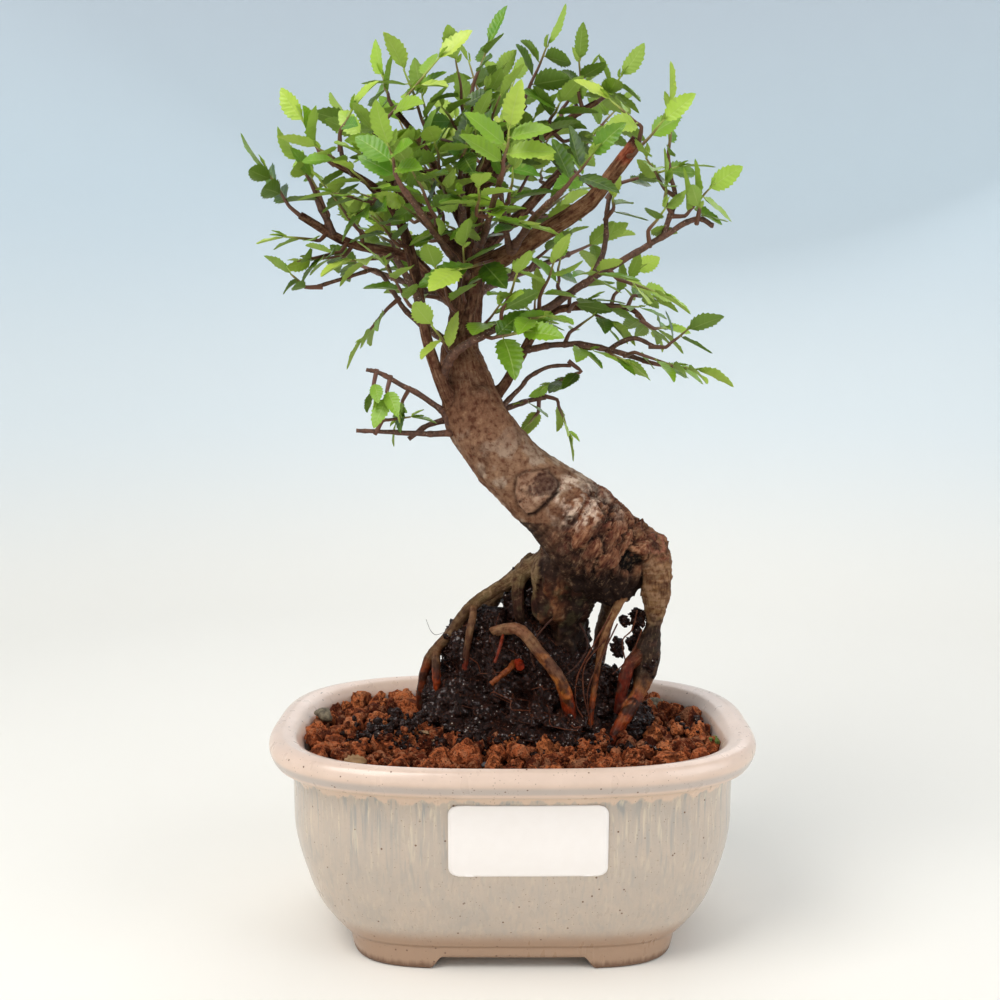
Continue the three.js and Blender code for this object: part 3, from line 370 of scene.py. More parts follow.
def leaf_frames(twig, index, face_up=FACE_UP, face_out=FACE_OUT):
    """A twig's leaves, on its two sides in turn and at its tip: point, direction, normal, length."""
    draw = seeded(1000 + 77 * index)
    count, size = twig[3:]
    route = stem_route(twig)
    frames = []
    for i in range(count):
        is_tip = i == count - 1
        sideways = 1 if i % 2 else -1
        place = TIP_LEAF if is_tip else FIRST_LEAF + LEAF_SPREAD * i / (count - 1)
        point, along = place_on(route, place)
        outward = unit(np.array([point[0] - CANOPY_AXIS[0], point[1] - CANOPY_AXIS[1], 0.0]))
        facing = unit(UP * face_up + outward * face_out)
        lateral = unit(np.cross(along, facing))
        stray = draw() - 0.5
        lean = TIP_LEAN_VARIES * stray if is_tip else sideways * (LEAN + LEAN_VARIES * stray)
        droop = DROOP + DROOP_VARIES * draw()
        direction = unit(along * math.cos(lean) + lateral * math.sin(lean) - UP * droop)
        upright = facing + lateral * TILT_VARIES * (draw() - 0.5)
        normal = unit(upright - direction * np.dot(upright, direction))
        length = size * (1 if is_tip else SHORTEST + LENGTH_VARIES * draw())
        frames.append((point, direction, normal, length))
    return frames


def turned(leaf, degrees, shorten):
    """A leaf turned about its rib and shortened."""
    point, direction, normal, length = leaf
    angle = math.radians(degrees)
    side = np.cross(normal, direction)
    return point, direction, normal * math.cos(angle) + side * math.sin(angle), length * shorten


def leaf_tests(leaf):
    point, direction, normal, length = leaf
    side = np.cross(normal, direction)
    return point + np.outer(LEAF_TESTS[:, 0], direction) * length + np.outer(LEAF_TESTS[:, 1], side) * length


WOOD_STARTS = np.array([p for points in LIMBS.values() for p in points[:-1]], dtype=float)
WOOD_ENDS = np.array([p for points in LIMBS.values() for p in points[1:]], dtype=float)


def clear_of_wood(point, clearance):
    spans = WOOD_ENDS[:, :3] - WOOD_STARTS[:, :3]
    places = ((point - WOOD_STARTS[:, :3]) * spans).sum(axis=1) / (spans * spans).sum(axis=1)
    places = np.clip(places, 0, 1)
    radii = WOOD_STARTS[:, 3] + (WOOD_ENDS[:, 3] - WOOD_STARTS[:, 3]) * places
    nearest = WOOD_STARTS[:, :3] + spans * places[:, None]
    return bool((np.linalg.norm(point - nearest, axis=1) > radii + clearance).all())


class Room:
    """The points that leaves and stems have taken, each with its owner and its clearance to that owner."""

    def __init__(self):
        self.points = np.zeros((0, 3))
        self.owners = np.zeros(0)
        self.clearances = np.zeros(0)

    def take(self, owner, points, clearance):
        self.points = np.vstack([self.points, points])
        self.owners = np.append(self.owners, np.full(len(points), owner))
        self.clearances = np.append(self.clearances, np.full(len(points), clearance))

    def stems(self, twigs, first=0):
        for owner, twig in enumerate(twigs, first):
            route = stem_route(twig)
            self.take(owner, [place_on(route, step / 12)[0] for step in range(13)], 0.0)

    def around(self, owner, point, reach, clearance):
        """The taken points within reach, and how far the owner's new leaf has to stay from each."""
        close = np.linalg.norm(self.points - point, axis=1) < reach
        own = np.minimum(self.clearances[close], clearance)
        return self.points[close], np.where(self.owners[close] == owner, own, clearance)


def grow_leaves(twigs, room, first=0, clearance=LEAF_CLEARANCE, from_wood=WOOD_CLEARANCE, **facing):
    """The leaves of every twig; one that would touch another twig or the wood is turned clear or left out."""
    room.stems(twigs, first)
    grown = []
    for owner, twig in enumerate(twigs, first):
        kept = []
        for leaf in leaf_frames(twig, owner, **facing):
            points, needed = room.around(owner, leaf[0], leaf[3] * 1.3 + clearance, clearance)
            for degrees, shorten in LEAF_TRIES:
                choice = turned(leaf, degrees, shorten)
                tests = leaf_tests(choice)
                far = all((np.linalg.norm(test - points, axis=1) > needed).all() for test in tests)
                if far and all(clear_of_wood(test, from_wood) for test in tests):
                    kept.append(choice)
                    room.take(owner, tests, SISTER_CLEARANCE)
                    break
        grown.append(kept)
    return grown


def side_twigs(name, start, spacing, random):
    """Leafy twigs along the outer part of a limb, turning round it and bent towards the light."""
    route = np.array(LIMBS[name], dtype=float)
    length = np.linalg.norm(np.diff(route[:, :3], axis=0), axis=1).sum()
    turn = random.uniform(0, 2 * math.pi)
    run = start * length
    found = []
    while run < length * 0.96:
        point, along = place_on(route, run / length)
        outward = unit(np.array([point[0] - CANOPY_AXIS[0], point[1] - CANOPY_AXIS[1], 0.001]))
        side = unit(np.cross(along, UP + 0.01))
        around = side * math.cos(turn) + np.cross(along, side) * math.sin(turn)
        way = unit(around * 0.9 + UP * 0.25 + outward * 0.4 + along * 0.4)
        tip = point[:3] + way * random.uniform(*SIDE_TWIG_REACH)
        leaves, size = int(random.integers(3, 6)), random.uniform(7.5, 11)
        top = np.interp(tip[0], CROWN_OUTLINE_X, CROWN_OUTLINE_Z)
        if (tip > CROWN_LOW).all() and (tip < CROWN_HIGH).all() and tip[2] < top:
            found.append((name, run / length, tuple(tip), leaves, size))
        turn += SIDE_TWIG_TURN
        run += spacing * random.uniform(0.7, 1.3)
    return found


# Meshes

def quads(rows, columns, closed_rows=False):
    """The faces of a grid of points whose columns go all the way round."""
    faces = []
    for row in range(rows if closed_rows else rows - 1):
        below = ((row + 1) % rows) * columns
        for column in range(columns):
            beside = (column + 1) % columns
            faces.append((row * columns + column, row * columns + beside, below + beside, below + column))
    return faces


def loft(rings):
    """Points and faces of a closed skin through rings of equal count, with a fan over each end."""
    rings = np.asarray(rings)
    rows, columns = rings.shape[:2]
    points = np.concatenate([rings.reshape(-1, 3), rings[:1].mean(axis=1), rings[-1:].mean(axis=1)])
    faces = quads(rows, columns)
    first, last = rows * columns, rows * columns + 1
    end = (rows - 1) * columns
    for column in range(columns):
        beside = (column + 1) % columns
        faces.append((first, beside, column))
        faces.append((last, end + column, end + beside))
    return points, faces


def outward(points, faces):
    """The faces, all turned over if their skin would point inwards."""
    volume = 0.0
    for face in faces:
        for b, c in zip(face[1:-1], face[2:]):
            volume += np.dot(points[face[0]], np.cross(points[b], points[c]))
    return faces if volume > 0 else [tuple(reversed(face)) for face in faces]


def new_mesh(name, points, faces, edges=()):
    """A smooth-shaded mesh from points in millimetres from the pot's middle."""
    made = bpy.data.meshes.new(name)
    made.from_pydata((np.asarray(points) * MM + HOME).tolist(), list(edges), faces)
    made.update()
    made.shade_smooth()
    return made


def unit_mesh(name, points, faces):
    """A smooth-shaded mesh of a shape one unit in size, to be placed many times."""
    made = bpy.data.meshes.new(name)
    made.from_pydata(np.asarray(points).tolist(), [], faces)
    made.update()
    made.shade_smooth()
    return made


FIELDS = {
    "FLOAT": "value", "INT": "value", "BOOLEAN": "value", "QUATERNION": "value", "FLOAT_COLOR": "color",
    "FLOAT_VECTOR": "vector",
}


def note(mesh, name, kind, values):
    """Writes a value for each point of a mesh."""
    layer = mesh.attributes.new(name, kind, "POINT")
    kinds = {"INT": np.int32, "BOOLEAN": bool}
    layer.data.foreach_set(FIELDS[kind], np.asarray(values, dtype=kinds.get(kind, np.float32)).ravel())


def new_piece(name, mesh, material, nodes=()):
    """Puts a mesh into the scene as a piece of the object, in the place of these nodes of the model."""
    piece = bpy.data.objects.new(name, mesh)
    bpy.context.scene.collection.objects.link(piece)
    if material is not None:
        mesh.materials.clear()
        mesh.materials.append(material)
    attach(piece, "root")
    if nodes:
        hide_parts(*nodes)
    return piece


def lumps(points, size, seed=0, octaves=3):
    """Fractal noise, about -1 to 1, at each point, with lumps of about this size."""
    shift = Vector((17.3, 5.7, 11.1)) * seed
    return np.array([noise.fractal(Vector(p) / size + shift, 1.0, 2.0, octaves) for p in points])


def nearest_cells(points, size, seed=0):
    """The distance to the nearest of some scattered spots, 0 to about 1, with spots this far apart."""
    shift = Vector((5.3, 1.7, 8.9)) * seed
    return np.array([noise.voronoi(Vector(p) / size + shift)[0][0] for p in points])


def flakes(points, warp):
    """Bark in long flakes that lie across the trunk: 0 on their borders, and how high each one stands."""
    along = points @ FLAKE_ALONG / 2.5
    across = points @ FLAKE_ACROSS
    places = np.column_stack([along, points[:, 1] / 1.5, across]) + warp[:, None] * (0.5, 0.6, 1.1)
    borders, heights = [], []
    for place in places:
        distances, spots = noise.voronoi(Vector(place) / FLAKE_SIZE)
        borders.append(distances[1] - distances[0])
        heights.append(noise.noise(spots[0] * 3.7) * 0.5 + 0.5)
    return np.array(borders), np.array(heights)


def smoothstep(low, high, values):
    share = np.clip((np.asarray(values) - low) / (high - low), 0, 1)
    return share * share * (3 - 2 * share)


def ball(level):
    """Points and faces of a round ball of radius 1."""
    shape = bmesh.new()
    bmesh.ops.create_icosphere(shape, subdivisions=level, radius=1.0)
    points = np.array([v.co[:] for v in shape.verts])
    faces = [tuple(v.index for v in face.verts) for face in shape.faces]
    shape.free()
    return points, faces


def linear(red, green, blue):
    """A colour as the eye sees it, 0 to 255, in the linear values that Blender works in."""
    darkest, shares = 11 / 255, [c / 255 for c in (red, green, blue)]
    return tuple(c / 12.92 if c < darkest else ((c + 0.055) / 1.055) ** 2.4 for c in shares)


def rgba(red, green, blue):
    return (*linear(red, green, blue), 1.0)


def quaternion(direction, normal):
    """The turn that takes +X to a direction and +Z to a normal."""
    side = np.cross(normal, direction)
    return Matrix(np.array([direction, side, normal]).T.tolist()).to_quaternion()


# Geometry node trees

def link(tree, source, target):
    tree.links.new(source, target)


def new_tree(name, inputs):
    """A geometry node tree with a mesh input, further named inputs and a mesh output."""
    tree = bpy.data.node_groups.new(name, "GeometryNodeTree")
    tree.interface.new_socket("Geometry", in_out="INPUT", socket_type="NodeSocketGeometry")
    for label, kind in inputs:
        tree.interface.new_socket(label, in_out="INPUT", socket_type=kind)
    tree.interface.new_socket("Geometry", in_out="OUTPUT", socket_type="NodeSocketGeometry")
    return tree


def add_node(tree, kind, settings=None, **values):
    """One node: its settings first, then a value or a link for each input, spaces written as underscores."""
    made = tree.nodes.new(kind)
    for key, value in (settings or {}).items():
        setattr(made, key, value)
    for key, value in values.items():
        socket = next(s for s in made.inputs if s.enabled and s.name == key.replace("_", " "))
        if isinstance(value, bpy.types.NodeSocket):
            link(tree, value, socket)
        else:
            socket.default_value = value
    return made


def output(node):
    return next(s for s in node.outputs if s.enabled)


def noted(tree, name, kind):
    """A node that reads what is noted at each point."""
    return output(add_node(tree, "GeometryNodeInputNamedAttribute", {"data_type": kind}, Name=name))


def scattered(tree, points, shapes, finish):
    """Copies of a collection's shapes on points, each with its noted shape, turn and size."""
    bag = add_node(tree, "GeometryNodeCollectionInfo", Collection=shapes, Separate_Children=True,
                   Reset_Children=True)
    copies = add_node(tree, "GeometryNodeInstanceOnPoints", Points=points, Instance=output(bag),
                      Selection=noted(tree, "holds", "BOOLEAN"), Pick_Instance=True,
                      Instance_Index=noted(tree, "pick", "INT"),
                      Rotation=noted(tree, "turn", "QUATERNION"), Scale=noted(tree, "size", "FLOAT"))
    real = add_node(tree, "GeometryNodeRealizeInstances", Geometry=output(copies))
    return output(add_node(tree, "GeometryNodeSetMaterial", Geometry=output(real), Material=finish))


def tubes(tree, edges, sides, finish):
    """A tube along each chain of edges, as thick as is noted at its points."""
    curves = add_node(tree, "GeometryNodeMeshToCurve", Mesh=edges)
    circle = add_node(tree, "GeometryNodeCurvePrimitiveCircle", Resolution=sides, Radius=1.0)
    swept = add_node(tree, "GeometryNodeCurveToMesh", Curve=output(curves), Profile_Curve=output(circle),
                     Scale=noted(tree, "thick", "FLOAT"), Fill_Caps=True)
    real = add_node(tree, "GeometryNodeRealizeInstances", Geometry=output(swept))
    return output(add_node(tree, "GeometryNodeSetMaterial", Geometry=output(real), Material=finish))


def scatter_tree():
    """Shapes on points, such as grains in a bed."""
    sockets = [("Shapes", "NodeSocketCollection"), ("Finish", "NodeSocketMaterial")]
    tree = new_tree("scattered shapes", sockets)
    given = tree.nodes.new("NodeGroupInput").outputs
    result = scattered(tree, given["Geometry"], given["Shapes"], given["Finish"])
    link(tree, result, tree.nodes.new("NodeGroupOutput").inputs["Geometry"])
    return tree


def branch_tree():
    """Round wood along routes."""
    tree = new_tree("thin wood", [("Sides", "NodeSocketInt"), ("Finish", "NodeSocketMaterial")])
    given = tree.nodes.new("NodeGroupInput").outputs
    result = tubes(tree, given["Geometry"], given["Sides"], given["Finish"])
    link(tree, result, tree.nodes.new("NodeGroupOutput").inputs["Geometry"])
    return tree


def twig_tree():
    """Stems along routes, and leaves on points."""
    sockets = [("Leaves", "NodeSocketCollection"), ("Sides", "NodeSocketInt"),
               ("Stem", "NodeSocketMaterial"), ("Blade", "NodeSocketMaterial")]
    tree = new_tree("leafy twig", sockets)
    given = tree.nodes.new("NodeGroupInput").outputs
    stems = tubes(tree, given["Geometry"], given["Sides"], given["Stem"])
    leaves = scattered(tree, given["Geometry"], given["Leaves"], given["Blade"])
    both = tree.nodes.new("GeometryNodeJoinGeometry")
    link(tree, stems, both.inputs["Geometry"])
    link(tree, leaves, both.inputs["Geometry"])
    link(tree, output(both), tree.nodes.new("NodeGroupOutput").inputs["Geometry"])
    return tree


PASSING = ("turn", "size", "pick", "holds", "thick")


def grown(name, source, tree, **inputs):
    """The plain mesh that a tree makes out of a source mesh."""
    holder = bpy.data.objects.new(name, source)
    bpy.context.scene.collection.objects.link(holder)
    modifier = holder.modifiers.new("growth", "NODES")
    modifier.node_group = tree
    for item in tree.interface.items_tree:
        if item.in_out == "INPUT" and item.name in inputs:
            modifier[item.identifier] = inputs[item.name]
    graph = bpy.context.evaluated_depsgraph_get()
    plain = bpy.data.meshes.new_from_object(holder.evaluated_get(graph))
    plain.name = name
    bpy.data.objects.remove(holder)
    for passing in PASSING:
        if passing in plain.attributes:
            plain.attributes.remove(plain.attributes[passing])
    plain.shade_smooth()
    return plain


def shape_collection(name, meshes):
    """A collection that holds one object for each shape, outside the scene."""
    bag = bpy.data.collections.new(name)
    for i, mesh in enumerate(meshes):
        bag.objects.link(bpy.data.objects.new(f"{name} {i:02d}", mesh))
    return bag


def empty_bag(bag):
    """Takes a collection of shapes away, once every copy is made."""
    for shape in list(bag.objects):
        bpy.data.objects.remove(shape)
    bpy.data.collections.remove(bag)


# Materials

class Term:
    """A value in a material, which adds, multiplies and so on like a plain number."""

    def __init__(self, look, socket):
        self.look = look
        self.socket = socket

    def __add__(self, other):
        return self.look.math("ADD", self, other)

    def __radd__(self, other):
        return self.look.math("ADD", other, self)

    def __sub__(self, other):
        return self.look.math("SUBTRACT", self, other)

    def __rsub__(self, other):
        return self.look.math("SUBTRACT", other, self)

    def __mul__(self, other):
        return self.look.math("MULTIPLY", self, other)

    def __rmul__(self, other):
        return self.look.math("MULTIPLY", other, self)

    def within(self, low, high, first=0.0, last=1.0):
        """A soft step from first, at low and below, to last, at high and above."""
        values = {"Value": self, "From Min": low, "From Max": high, "To Min": first, "To Max": last}
        step = self.look.node("MapRange", {"interpolation_type": "SMOOTHSTEP"}, values)
        return Term(self.look, output(step))


class Look:
    """A material as it is put together."""

    def __init__(self, name):
        self.material = bpy.data.materials.new(name)
        self.material.use_nodes = True
        self.tree = self.material.node_tree
        self.tree.nodes.clear()
        self.where = self.node("TexCoord").outputs["Object"]

    def node(self, kind, settings=None, values=None):
        """One shader node: its settings first, then a value or a link for each of its inputs."""
        made = self.tree.nodes.new("ShaderNode" + kind)
        for key, value in (settings or {}).items():
            setattr(made, key, value)
        for key, value in (values or {}).items():
            if isinstance(key, int):
                socket = made.inputs[key]
            else:
                socket = next(s for s in made.inputs if s.enabled and s.name == key)
            value = value.socket if isinstance(value, Term) else value
            if isinstance(value, bpy.types.NodeSocket):
                self.tree.links.new(value, socket)
            else:
                socket.default_value = value
        return made

    def math(self, operation, *values):
        return Term(self, output(self.node("Math", {"operation": operation}, dict(enumerate(values)))))

    def highest(self, *values):
        return self.math("MAXIMUM", *values)

    def spot(self, stretch=(1, 1, 1), shift=(0, 0, 0)):
        """The place on the object in millimetres, stretched along each axis."""
        values = {"Vector": self.where, "Scale": [1000 / s for s in stretch], "Location": shift}
        return output(self.node("Mapping", None, values))

    def height(self):
        """Millimetres above the surface that the pot stands on."""
        return Term(self, self.node("SeparateXYZ", None, {"Vector": self.spot()}).outputs["Z"])

    def noise(self, size, detail=3.0, rough=0.55, stretch=(1, 1, 1), shift=0.0):
        """Cloudy noise, 0 to 1, with clouds of about this size in millimetres."""
        spot = self.spot([size * s for s in stretch], (shift, shift, shift))
        values = {"Vector": spot, "Scale": 1.0, "Detail": detail, "Roughness": rough}
        return Term(self, output(self.node("TexNoise", None, values)))

    def cells(self, size, stretch=(1, 1, 1), shift=0.0):
        """The distance from the nearest cell's middle, as a part of the cell's size."""
        spot = self.spot([size * s for s in stretch], (shift, shift, shift))
        cells = self.node("TexVoronoi", None, {"Vector": spot, "Scale": 1.0})
        return Term(self, cells.outputs["Distance"])

    def noted(self, name):
        """A number that was noted at each point of the mesh."""
        return Term(self, self.node("Attribute", {"attribute_name": name}).outputs["Fac"])

    def fibres(self, size, stretch):
        """Noise drawn out along each limb, from the places that were noted on the wood in millimetres."""
        places = self.node("Attribute", {"attribute_name": "grain"}).outputs["Vector"]
        scale = (1 / size, 1 / size, 1 / size / stretch)
        spot = output(self.node("Mapping", None, {"Vector": places, "Scale": scale}))
        values = {"Vector": spot, "Scale": 1.0, "Detail": 2.0, "Roughness": 0.6}
        return Term(self, output(self.node("TexNoise", None, values)))

    def noted_colour(self, name):
        return Term(self, self.node("Attribute", {"attribute_name": name}).outputs["Color"])

    def mix(self, share, first, second, way="MIX"):
        """The first colour, going over to the second as the share goes from 0 to 1."""
        values = {"Factor": share, "A": first, "B": second}
        settings = {"data_type": "RGBA", "blend_type": way}
        return Term(self, output(self.node("Mix", settings, values)))

    def relief(self, height, depth, under=None):
        """A bumpy normal: height from 0 to 1 is this many millimetres deep."""
        values = {"Height": height, "Distance": depth * MM, "Strength": 1.0}
        if under is not None:
            values["Normal"] = under
        return Term(self, output(self.node("Bump", None, values)))

    def surface(self, **values):
        named = {key.replace("_", " "): value for key, value in values.items()}
        return self.node("BsdfPrincipled", None, named).outputs["BSDF"]

    def done(self, shader):
        out = self.tree.nodes.new("ShaderNodeOutputMaterial")
        self.tree.links.new(shader, out.inputs["Surface"])
        return self.material


def glaze_look():
    """Satin grey-beige glaze with fine runs, a pale pink lip and a bare foot edge."""
    look = Look("runny satin glaze")
    z = look.height()
    body = look.mix(look.noise(7, 4, 0.62), rgba(174, 164, 154), rgba(206, 184, 164))
    fine = look.noise(0.9, 2, 0.5, (1, 1, 22))
    broad = look.noise(3.4, 2, 0.5, (1, 1, 7), 4.0)
    below_lip = z.within(22, 44, 0.3, 1)
    blue = fine.within(0.46, 0.66) * broad.within(0.32, 0.6) * below_lip
    body = look.mix(blue * 0.65, body, rgba(146, 148, 148))
    cream = look.noise(0.8, 2, 0.5, (1, 1, 10), 9.0).within(0.54, 0.7) * below_lip
    body = look.mix(cream * 0.5, body, rgba(226, 210, 182))
    body = look.mix(look.noise(0.7, 3, 0.7, shift=2.0).within(0.56, 0.7) * 0.35, body, rgba(172, 150, 128))
    neck = broad.within(0.3, 0.7, 44.4, 46.4)
    body = look.mix((z - neck).within(0, 0.8) * 0.85, body, rgba(220, 190, 166))
    lip = look.mix(look.noise(6, 3, 0.6), rgba(230, 202, 183), rgba(208, 182, 164))
    shade = z.within(48.4, 49.4) * z.within(50.2, 51.6, 1, 0)
    lip = look.mix(shade * 0.65, lip, rgba(176, 168, 164))
    body = look.mix(z.within(47.4, 48.6), body, lip)
    foot = z.within(7, 12, 1, 0)
    body = look.mix(foot * 0.85, body, rgba(162, 126, 98))
    specks = look.cells(2.4).within(0.07, 0.13, 1, 0) * broad.within(0.45, 0.55)
    small = look.cells(1.1, shift=3.0).within(0.08, 0.15, 1, 0) * broad.within(0.5, 0.58, 1, 0)
    body = look.mix(look.highest(specks, small * 0.6), body, rgba(108, 76, 54))
    edge = (z + fine * 2).within(1.6, 3.4, 1, 0)
    body = look.mix(edge, body, rgba(118, 86, 64))
    rough = broad.within(0.3, 0.7, 0.27, 0.33) + edge * 0.4
    bumps = look.relief(fine * z.within(42, 46, 1, 0) + look.noise(5, 1) * 4, 0.03)
    return look.done(look.surface(Base_Color=body, Roughness=rough, Normal=bumps, Coat_Weight=0.3,
                                  Coat_Roughness=0.12))


def plain_look(name, first, second, rough, clouds, fine, depth):
    """A finish that drifts between two colours, with a fine relief; both noises as size and detail."""
    look = Look(name)
    tone = look.mix(look.noise(*clouds), rgba(*first), rgba(*second))
    relief = look.relief(look.noise(*fine), depth)
    return look.done(look.surface(Base_Color=tone, Roughness=rough, Normal=relief))


def paper_look():
    return plain_look("bare white sticker", (246, 237, 231), (251, 243, 238), 0.38, (3, 2), (0.4, 2), 0.008)


def plastic_look():
    return plain_look("dark plastic mesh", (38, 40, 41), (52, 54, 55), 0.6, (2, 2), (0.6, 2), 0.03)


def dry_leaf_look():
    return plain_look("dry leaf", (164, 128, 84), (116, 84, 52), 0.6, (1.5, 3), (0.6, 3), 0.1)


def moss_look():
    return plain_look("moss", (64, 84, 34), (112, 130, 56), 0.8, (0.5, 3), (0.3, 2), 0.1)


def clay_look():
    """Baked red clay, porous and rough, from dark brown to orange from grain to grain, with painted shade in the
    dips, pits and pores of its relief and painted highlights on its crests and knobs.
    """
    look = Look("baked clay grains")
    tint = look.noted("tint")
    clouds = look.noise(0.8, 4, 0.78)
    tone = look.mix(tint.within(0, 0.5), rgba(106, 46, 25), rgba(192, 100, 57))
    tone = look.mix(tint.within(0.5, 1), tone, rgba(218, 124, 72))
    # painted shade where the fine relief dips, and a painted orange highlight where it rises
    tone = look.mix(clouds.within(0.49, 0.34) * 0.9, tone, rgba(76, 27, 13))
    tone = look.mix(clouds.within(0.53, 0.66) * 0.55, tone, rgba(236, 162, 114))
    pits = look.noted("pits")
    # painted shade in the low places of each grain's shape, and a painted highlight on its knobs
    tone = look.mix(pits.within(-0.04, 0.2) * 0.7, tone, rgba(58, 22, 12))
    tone = look.mix(pits.within(-0.08, -0.3) * 0.35, tone, rgba(206, 144, 104))
    # painted shade: the pores are painted near black
    pores = look.cells(0.62, shift=2.0).within(0.16, 0.42, 1, 0)
    tone = look.mix(pores * clouds.within(0.4, 0.52) * 0.85, tone, rgba(40, 15, 8))
    shape = clouds - pores * 0.35
    return look.done(look.surface(Base_Color=tone, Roughness=0.9, Normal=look.relief(shape, 1.2),
                                  Specular_IOR_Level=0.08))


def peat_look():
    """Near-black wet peat, with brown fibres, glints of water and a few pale grains that are partly painted
    glints.
    """
    look = Look("moist peat")
    clouds = look.noise(1.0, 3, 0.65)
    tone = look.mix(clouds.within(0.4, 0.7), rgba(20, 7, 4), rgba(52, 25, 16))
    fibres = look.noise(0.45, 1, 0.5, (1, 6, 1)).within(0.64, 0.72)
    tone = look.mix(fibres * 0.5, tone, rgba(98, 54, 30))
    # pale specks: grains of perlite, and partly painted glints of water
    pale = look.cells(1.5, shift=5.0).within(0.1, 0.16, 1, 0) * clouds.within(0.46, 0.52)
    tone = look.mix(pale, tone, rgba(176, 164, 154))
    wet = clouds.within(0.44, 0.54, 0.32, 0.95)
    return look.done(look.surface(Base_Color=tone, Roughness=wet, Normal=look.relief(clouds, 0.8),
                                  Specular_IOR_Level=0.12, Coat_Weight=clouds.within(0.5, 0.6) * 0.6,
                                  Coat_Roughness=0.14))


def stone_look(name, dark, light):
    look = Look(name)
    tone = look.mix(look.noise(1.1, 4, 0.6).within(0.35, 0.65), rgba(*dark), rgba(*light))
    relief = look.relief(look.noise(0.8, 3), 0.2)
    return look.done(look.surface(Base_Color=tone, Roughness=0.7, Normal=relief))


def bark_look():
    """The bark: its colour is worked out limb by limb; fine spots, fibres and pores go over it."""
    look = Look("elm bark")
    tone = look.noted_colour("tone")
    wet = look.noted("wet")
    dark = look.mix(1.0, tone, rgba(150, 104, 82), "MULTIPLY")
    light = look.mix(wet.within(0, 1, 0.26, 0.08), tone, rgba(222, 180, 140))
    mottle = look.noise(1.5, 3, 0.62)
    body = look.mix(mottle.within(0.3, 0.55, 1, 0) * 0.8, tone, dark)
    body = look.mix(mottle.within(0.55, 0.75) * 0.7, body, light)
    strands = look.fibres(0.55, 7)
    fibrous = look.noted("fibrous")
    body = look.mix(strands.within(0.3, 0.47, 1, 0) * fibrous * 0.85, body, dark)
    body = look.mix(strands.within(0.54, 0.7) * fibrous * 0.6, body, light)
    grit = look.noise(0.35, 2, 0.6, shift=4.0)
    body = look.mix(grit.within(0.6, 0.72) * 0.5, body, dark)
    pores = look.cells(1.3, stretch=(1.3, 1.3, 0.7), shift=6.0).within(0.1, 0.2, 1, 0)
    pores = pores * look.noise(4, 2, shift=1.0).within(0.45, 0.6) * look.noted("smooth")
    body = look.mix(pores * 0.75, body, rgba(122, 62, 40))
    shape = mottle * 0.5 + grit * 0.2 + strands * fibrous * 0.6 + pores * 0.3
    rough = wet.within(0, 1, 0.78, 0.36)
    return look.done(look.surface(Base_Color=body, Roughness=rough, Normal=look.relief(shape, 0.55),
                                  Specular_IOR_Level=0.14))


def twig_look():
    """Thin brown twigs with pale pores."""
    look = Look("twig bark")
    tone = look.noted_colour("tone")
    mottle = look.noise(0.8, 3, 0.6)
    dark = look.mix(1.0, tone, rgba(140, 120, 110), "MULTIPLY")
    body = look.mix(mottle.within(0.35, 0.6, 1, 0) * 0.7, tone, dark)
    pores = look.cells(0.8, shift=3.0).within(0.14, 0.24, 1, 0) * look.noise(3, 2).within(0.42, 0.55)
    body = look.mix(pores * 0.6, body, rgba(186, 158, 134))
    return look.done(look.surface(Base_Color=body, Roughness=0.62, Normal=look.relief(mottle, 0.14)))


def stem_look():
    """Stems of this year: green towards the tip, reddish brown where they are older."""
    look = Look("young stem")
    age = look.noted("age") + look.noise(1.5, 2) * 0.4 - 0.2
    tone = look.mix(age.within(0.05, 0.4), rgba(164, 180, 76), rgba(132, 118, 62))
    tone = look.mix(age.within(0.4, 0.75), tone, rgba(104, 64, 46))
    relief = look.relief(look.noise(0.5, 2), 0.06)
    return look.done(look.surface(Base_Color=tone, Roughness=0.5, Normal=relief))


def leaf_look():
    """Toothed elm leaves: veins run from the rib to the teeth, and the underside is paler and duller."""
    look = Look("elm leaf")
    lie = look.node("SeparateXYZ", None, {"Vector": look.node("UVMap", {"uv_map": "lie"}).outputs["UV"]})
    across = look.math("ABSOLUTE", Term(look, lie.outputs["X"]) - 0.5) * 2
    along = Term(look, lie.outputs["Y"])
    age = look.noted("age")
    tint = look.noted("tint")
    under = look.noted("under").within(0.45, 0.55)
    rank = look.math("PINGPONG", (along - across * 0.15) * 8.0 + 0.5, 0.5) * 2
    vein = rank.within(0.0, 0.2, 1, 0) * along.within(0.9, 1.0, 1, 0.2)
    rib = across.within(0.015, 0.07, 1, 0)
    young = look.mix(tint, rgba(212, 228, 98), rgba(176, 210, 70))
    middle = look.mix(tint, rgba(150, 190, 48), rgba(86, 144, 32))
    old = look.mix(tint, rgba(48, 88, 15), rgba(20, 50, 10))
    blade = look.mix(age.within(0.05, 0.45), young, middle)
    blade = look.mix(age.within(0.45, 0.9), blade, old)
    clouds = look.noise(2.6, 2, 0.6)
    blade = look.mix(clouds.within(0.35, 0.7) * 0.25, blade, rgba(156, 190, 62))
    pale = look.mix(age.within(0.2, 0.9), rgba(168, 194, 84), rgba(88, 118, 42))
    blade = look.mix(under * 0.85, blade, pale)
    blade = look.mix(look.highest(vein * 0.1, rib * 0.4), blade, rgba(198, 212, 124))
    rough = age.within(0.2, 1, 0.42, 0.28) + under * 0.25
    quilt = rank.within(0, 1) * (1 - under * 2)
    normal = look.relief(quilt - rib * 0.5, 0.045)
    face = look.surface(Base_Color=blade, Roughness=rough, Normal=normal, Specular_IOR_Level=0.48)
    shine = look.node("BsdfTranslucent", None, {"Color": rgba(204, 222, 80)}).outputs["BSDF"]
    both = look.node("MixShader", None, {0: 0.22, 1: face, 2: shine}).outputs["Shader"]
    return look.done(both)


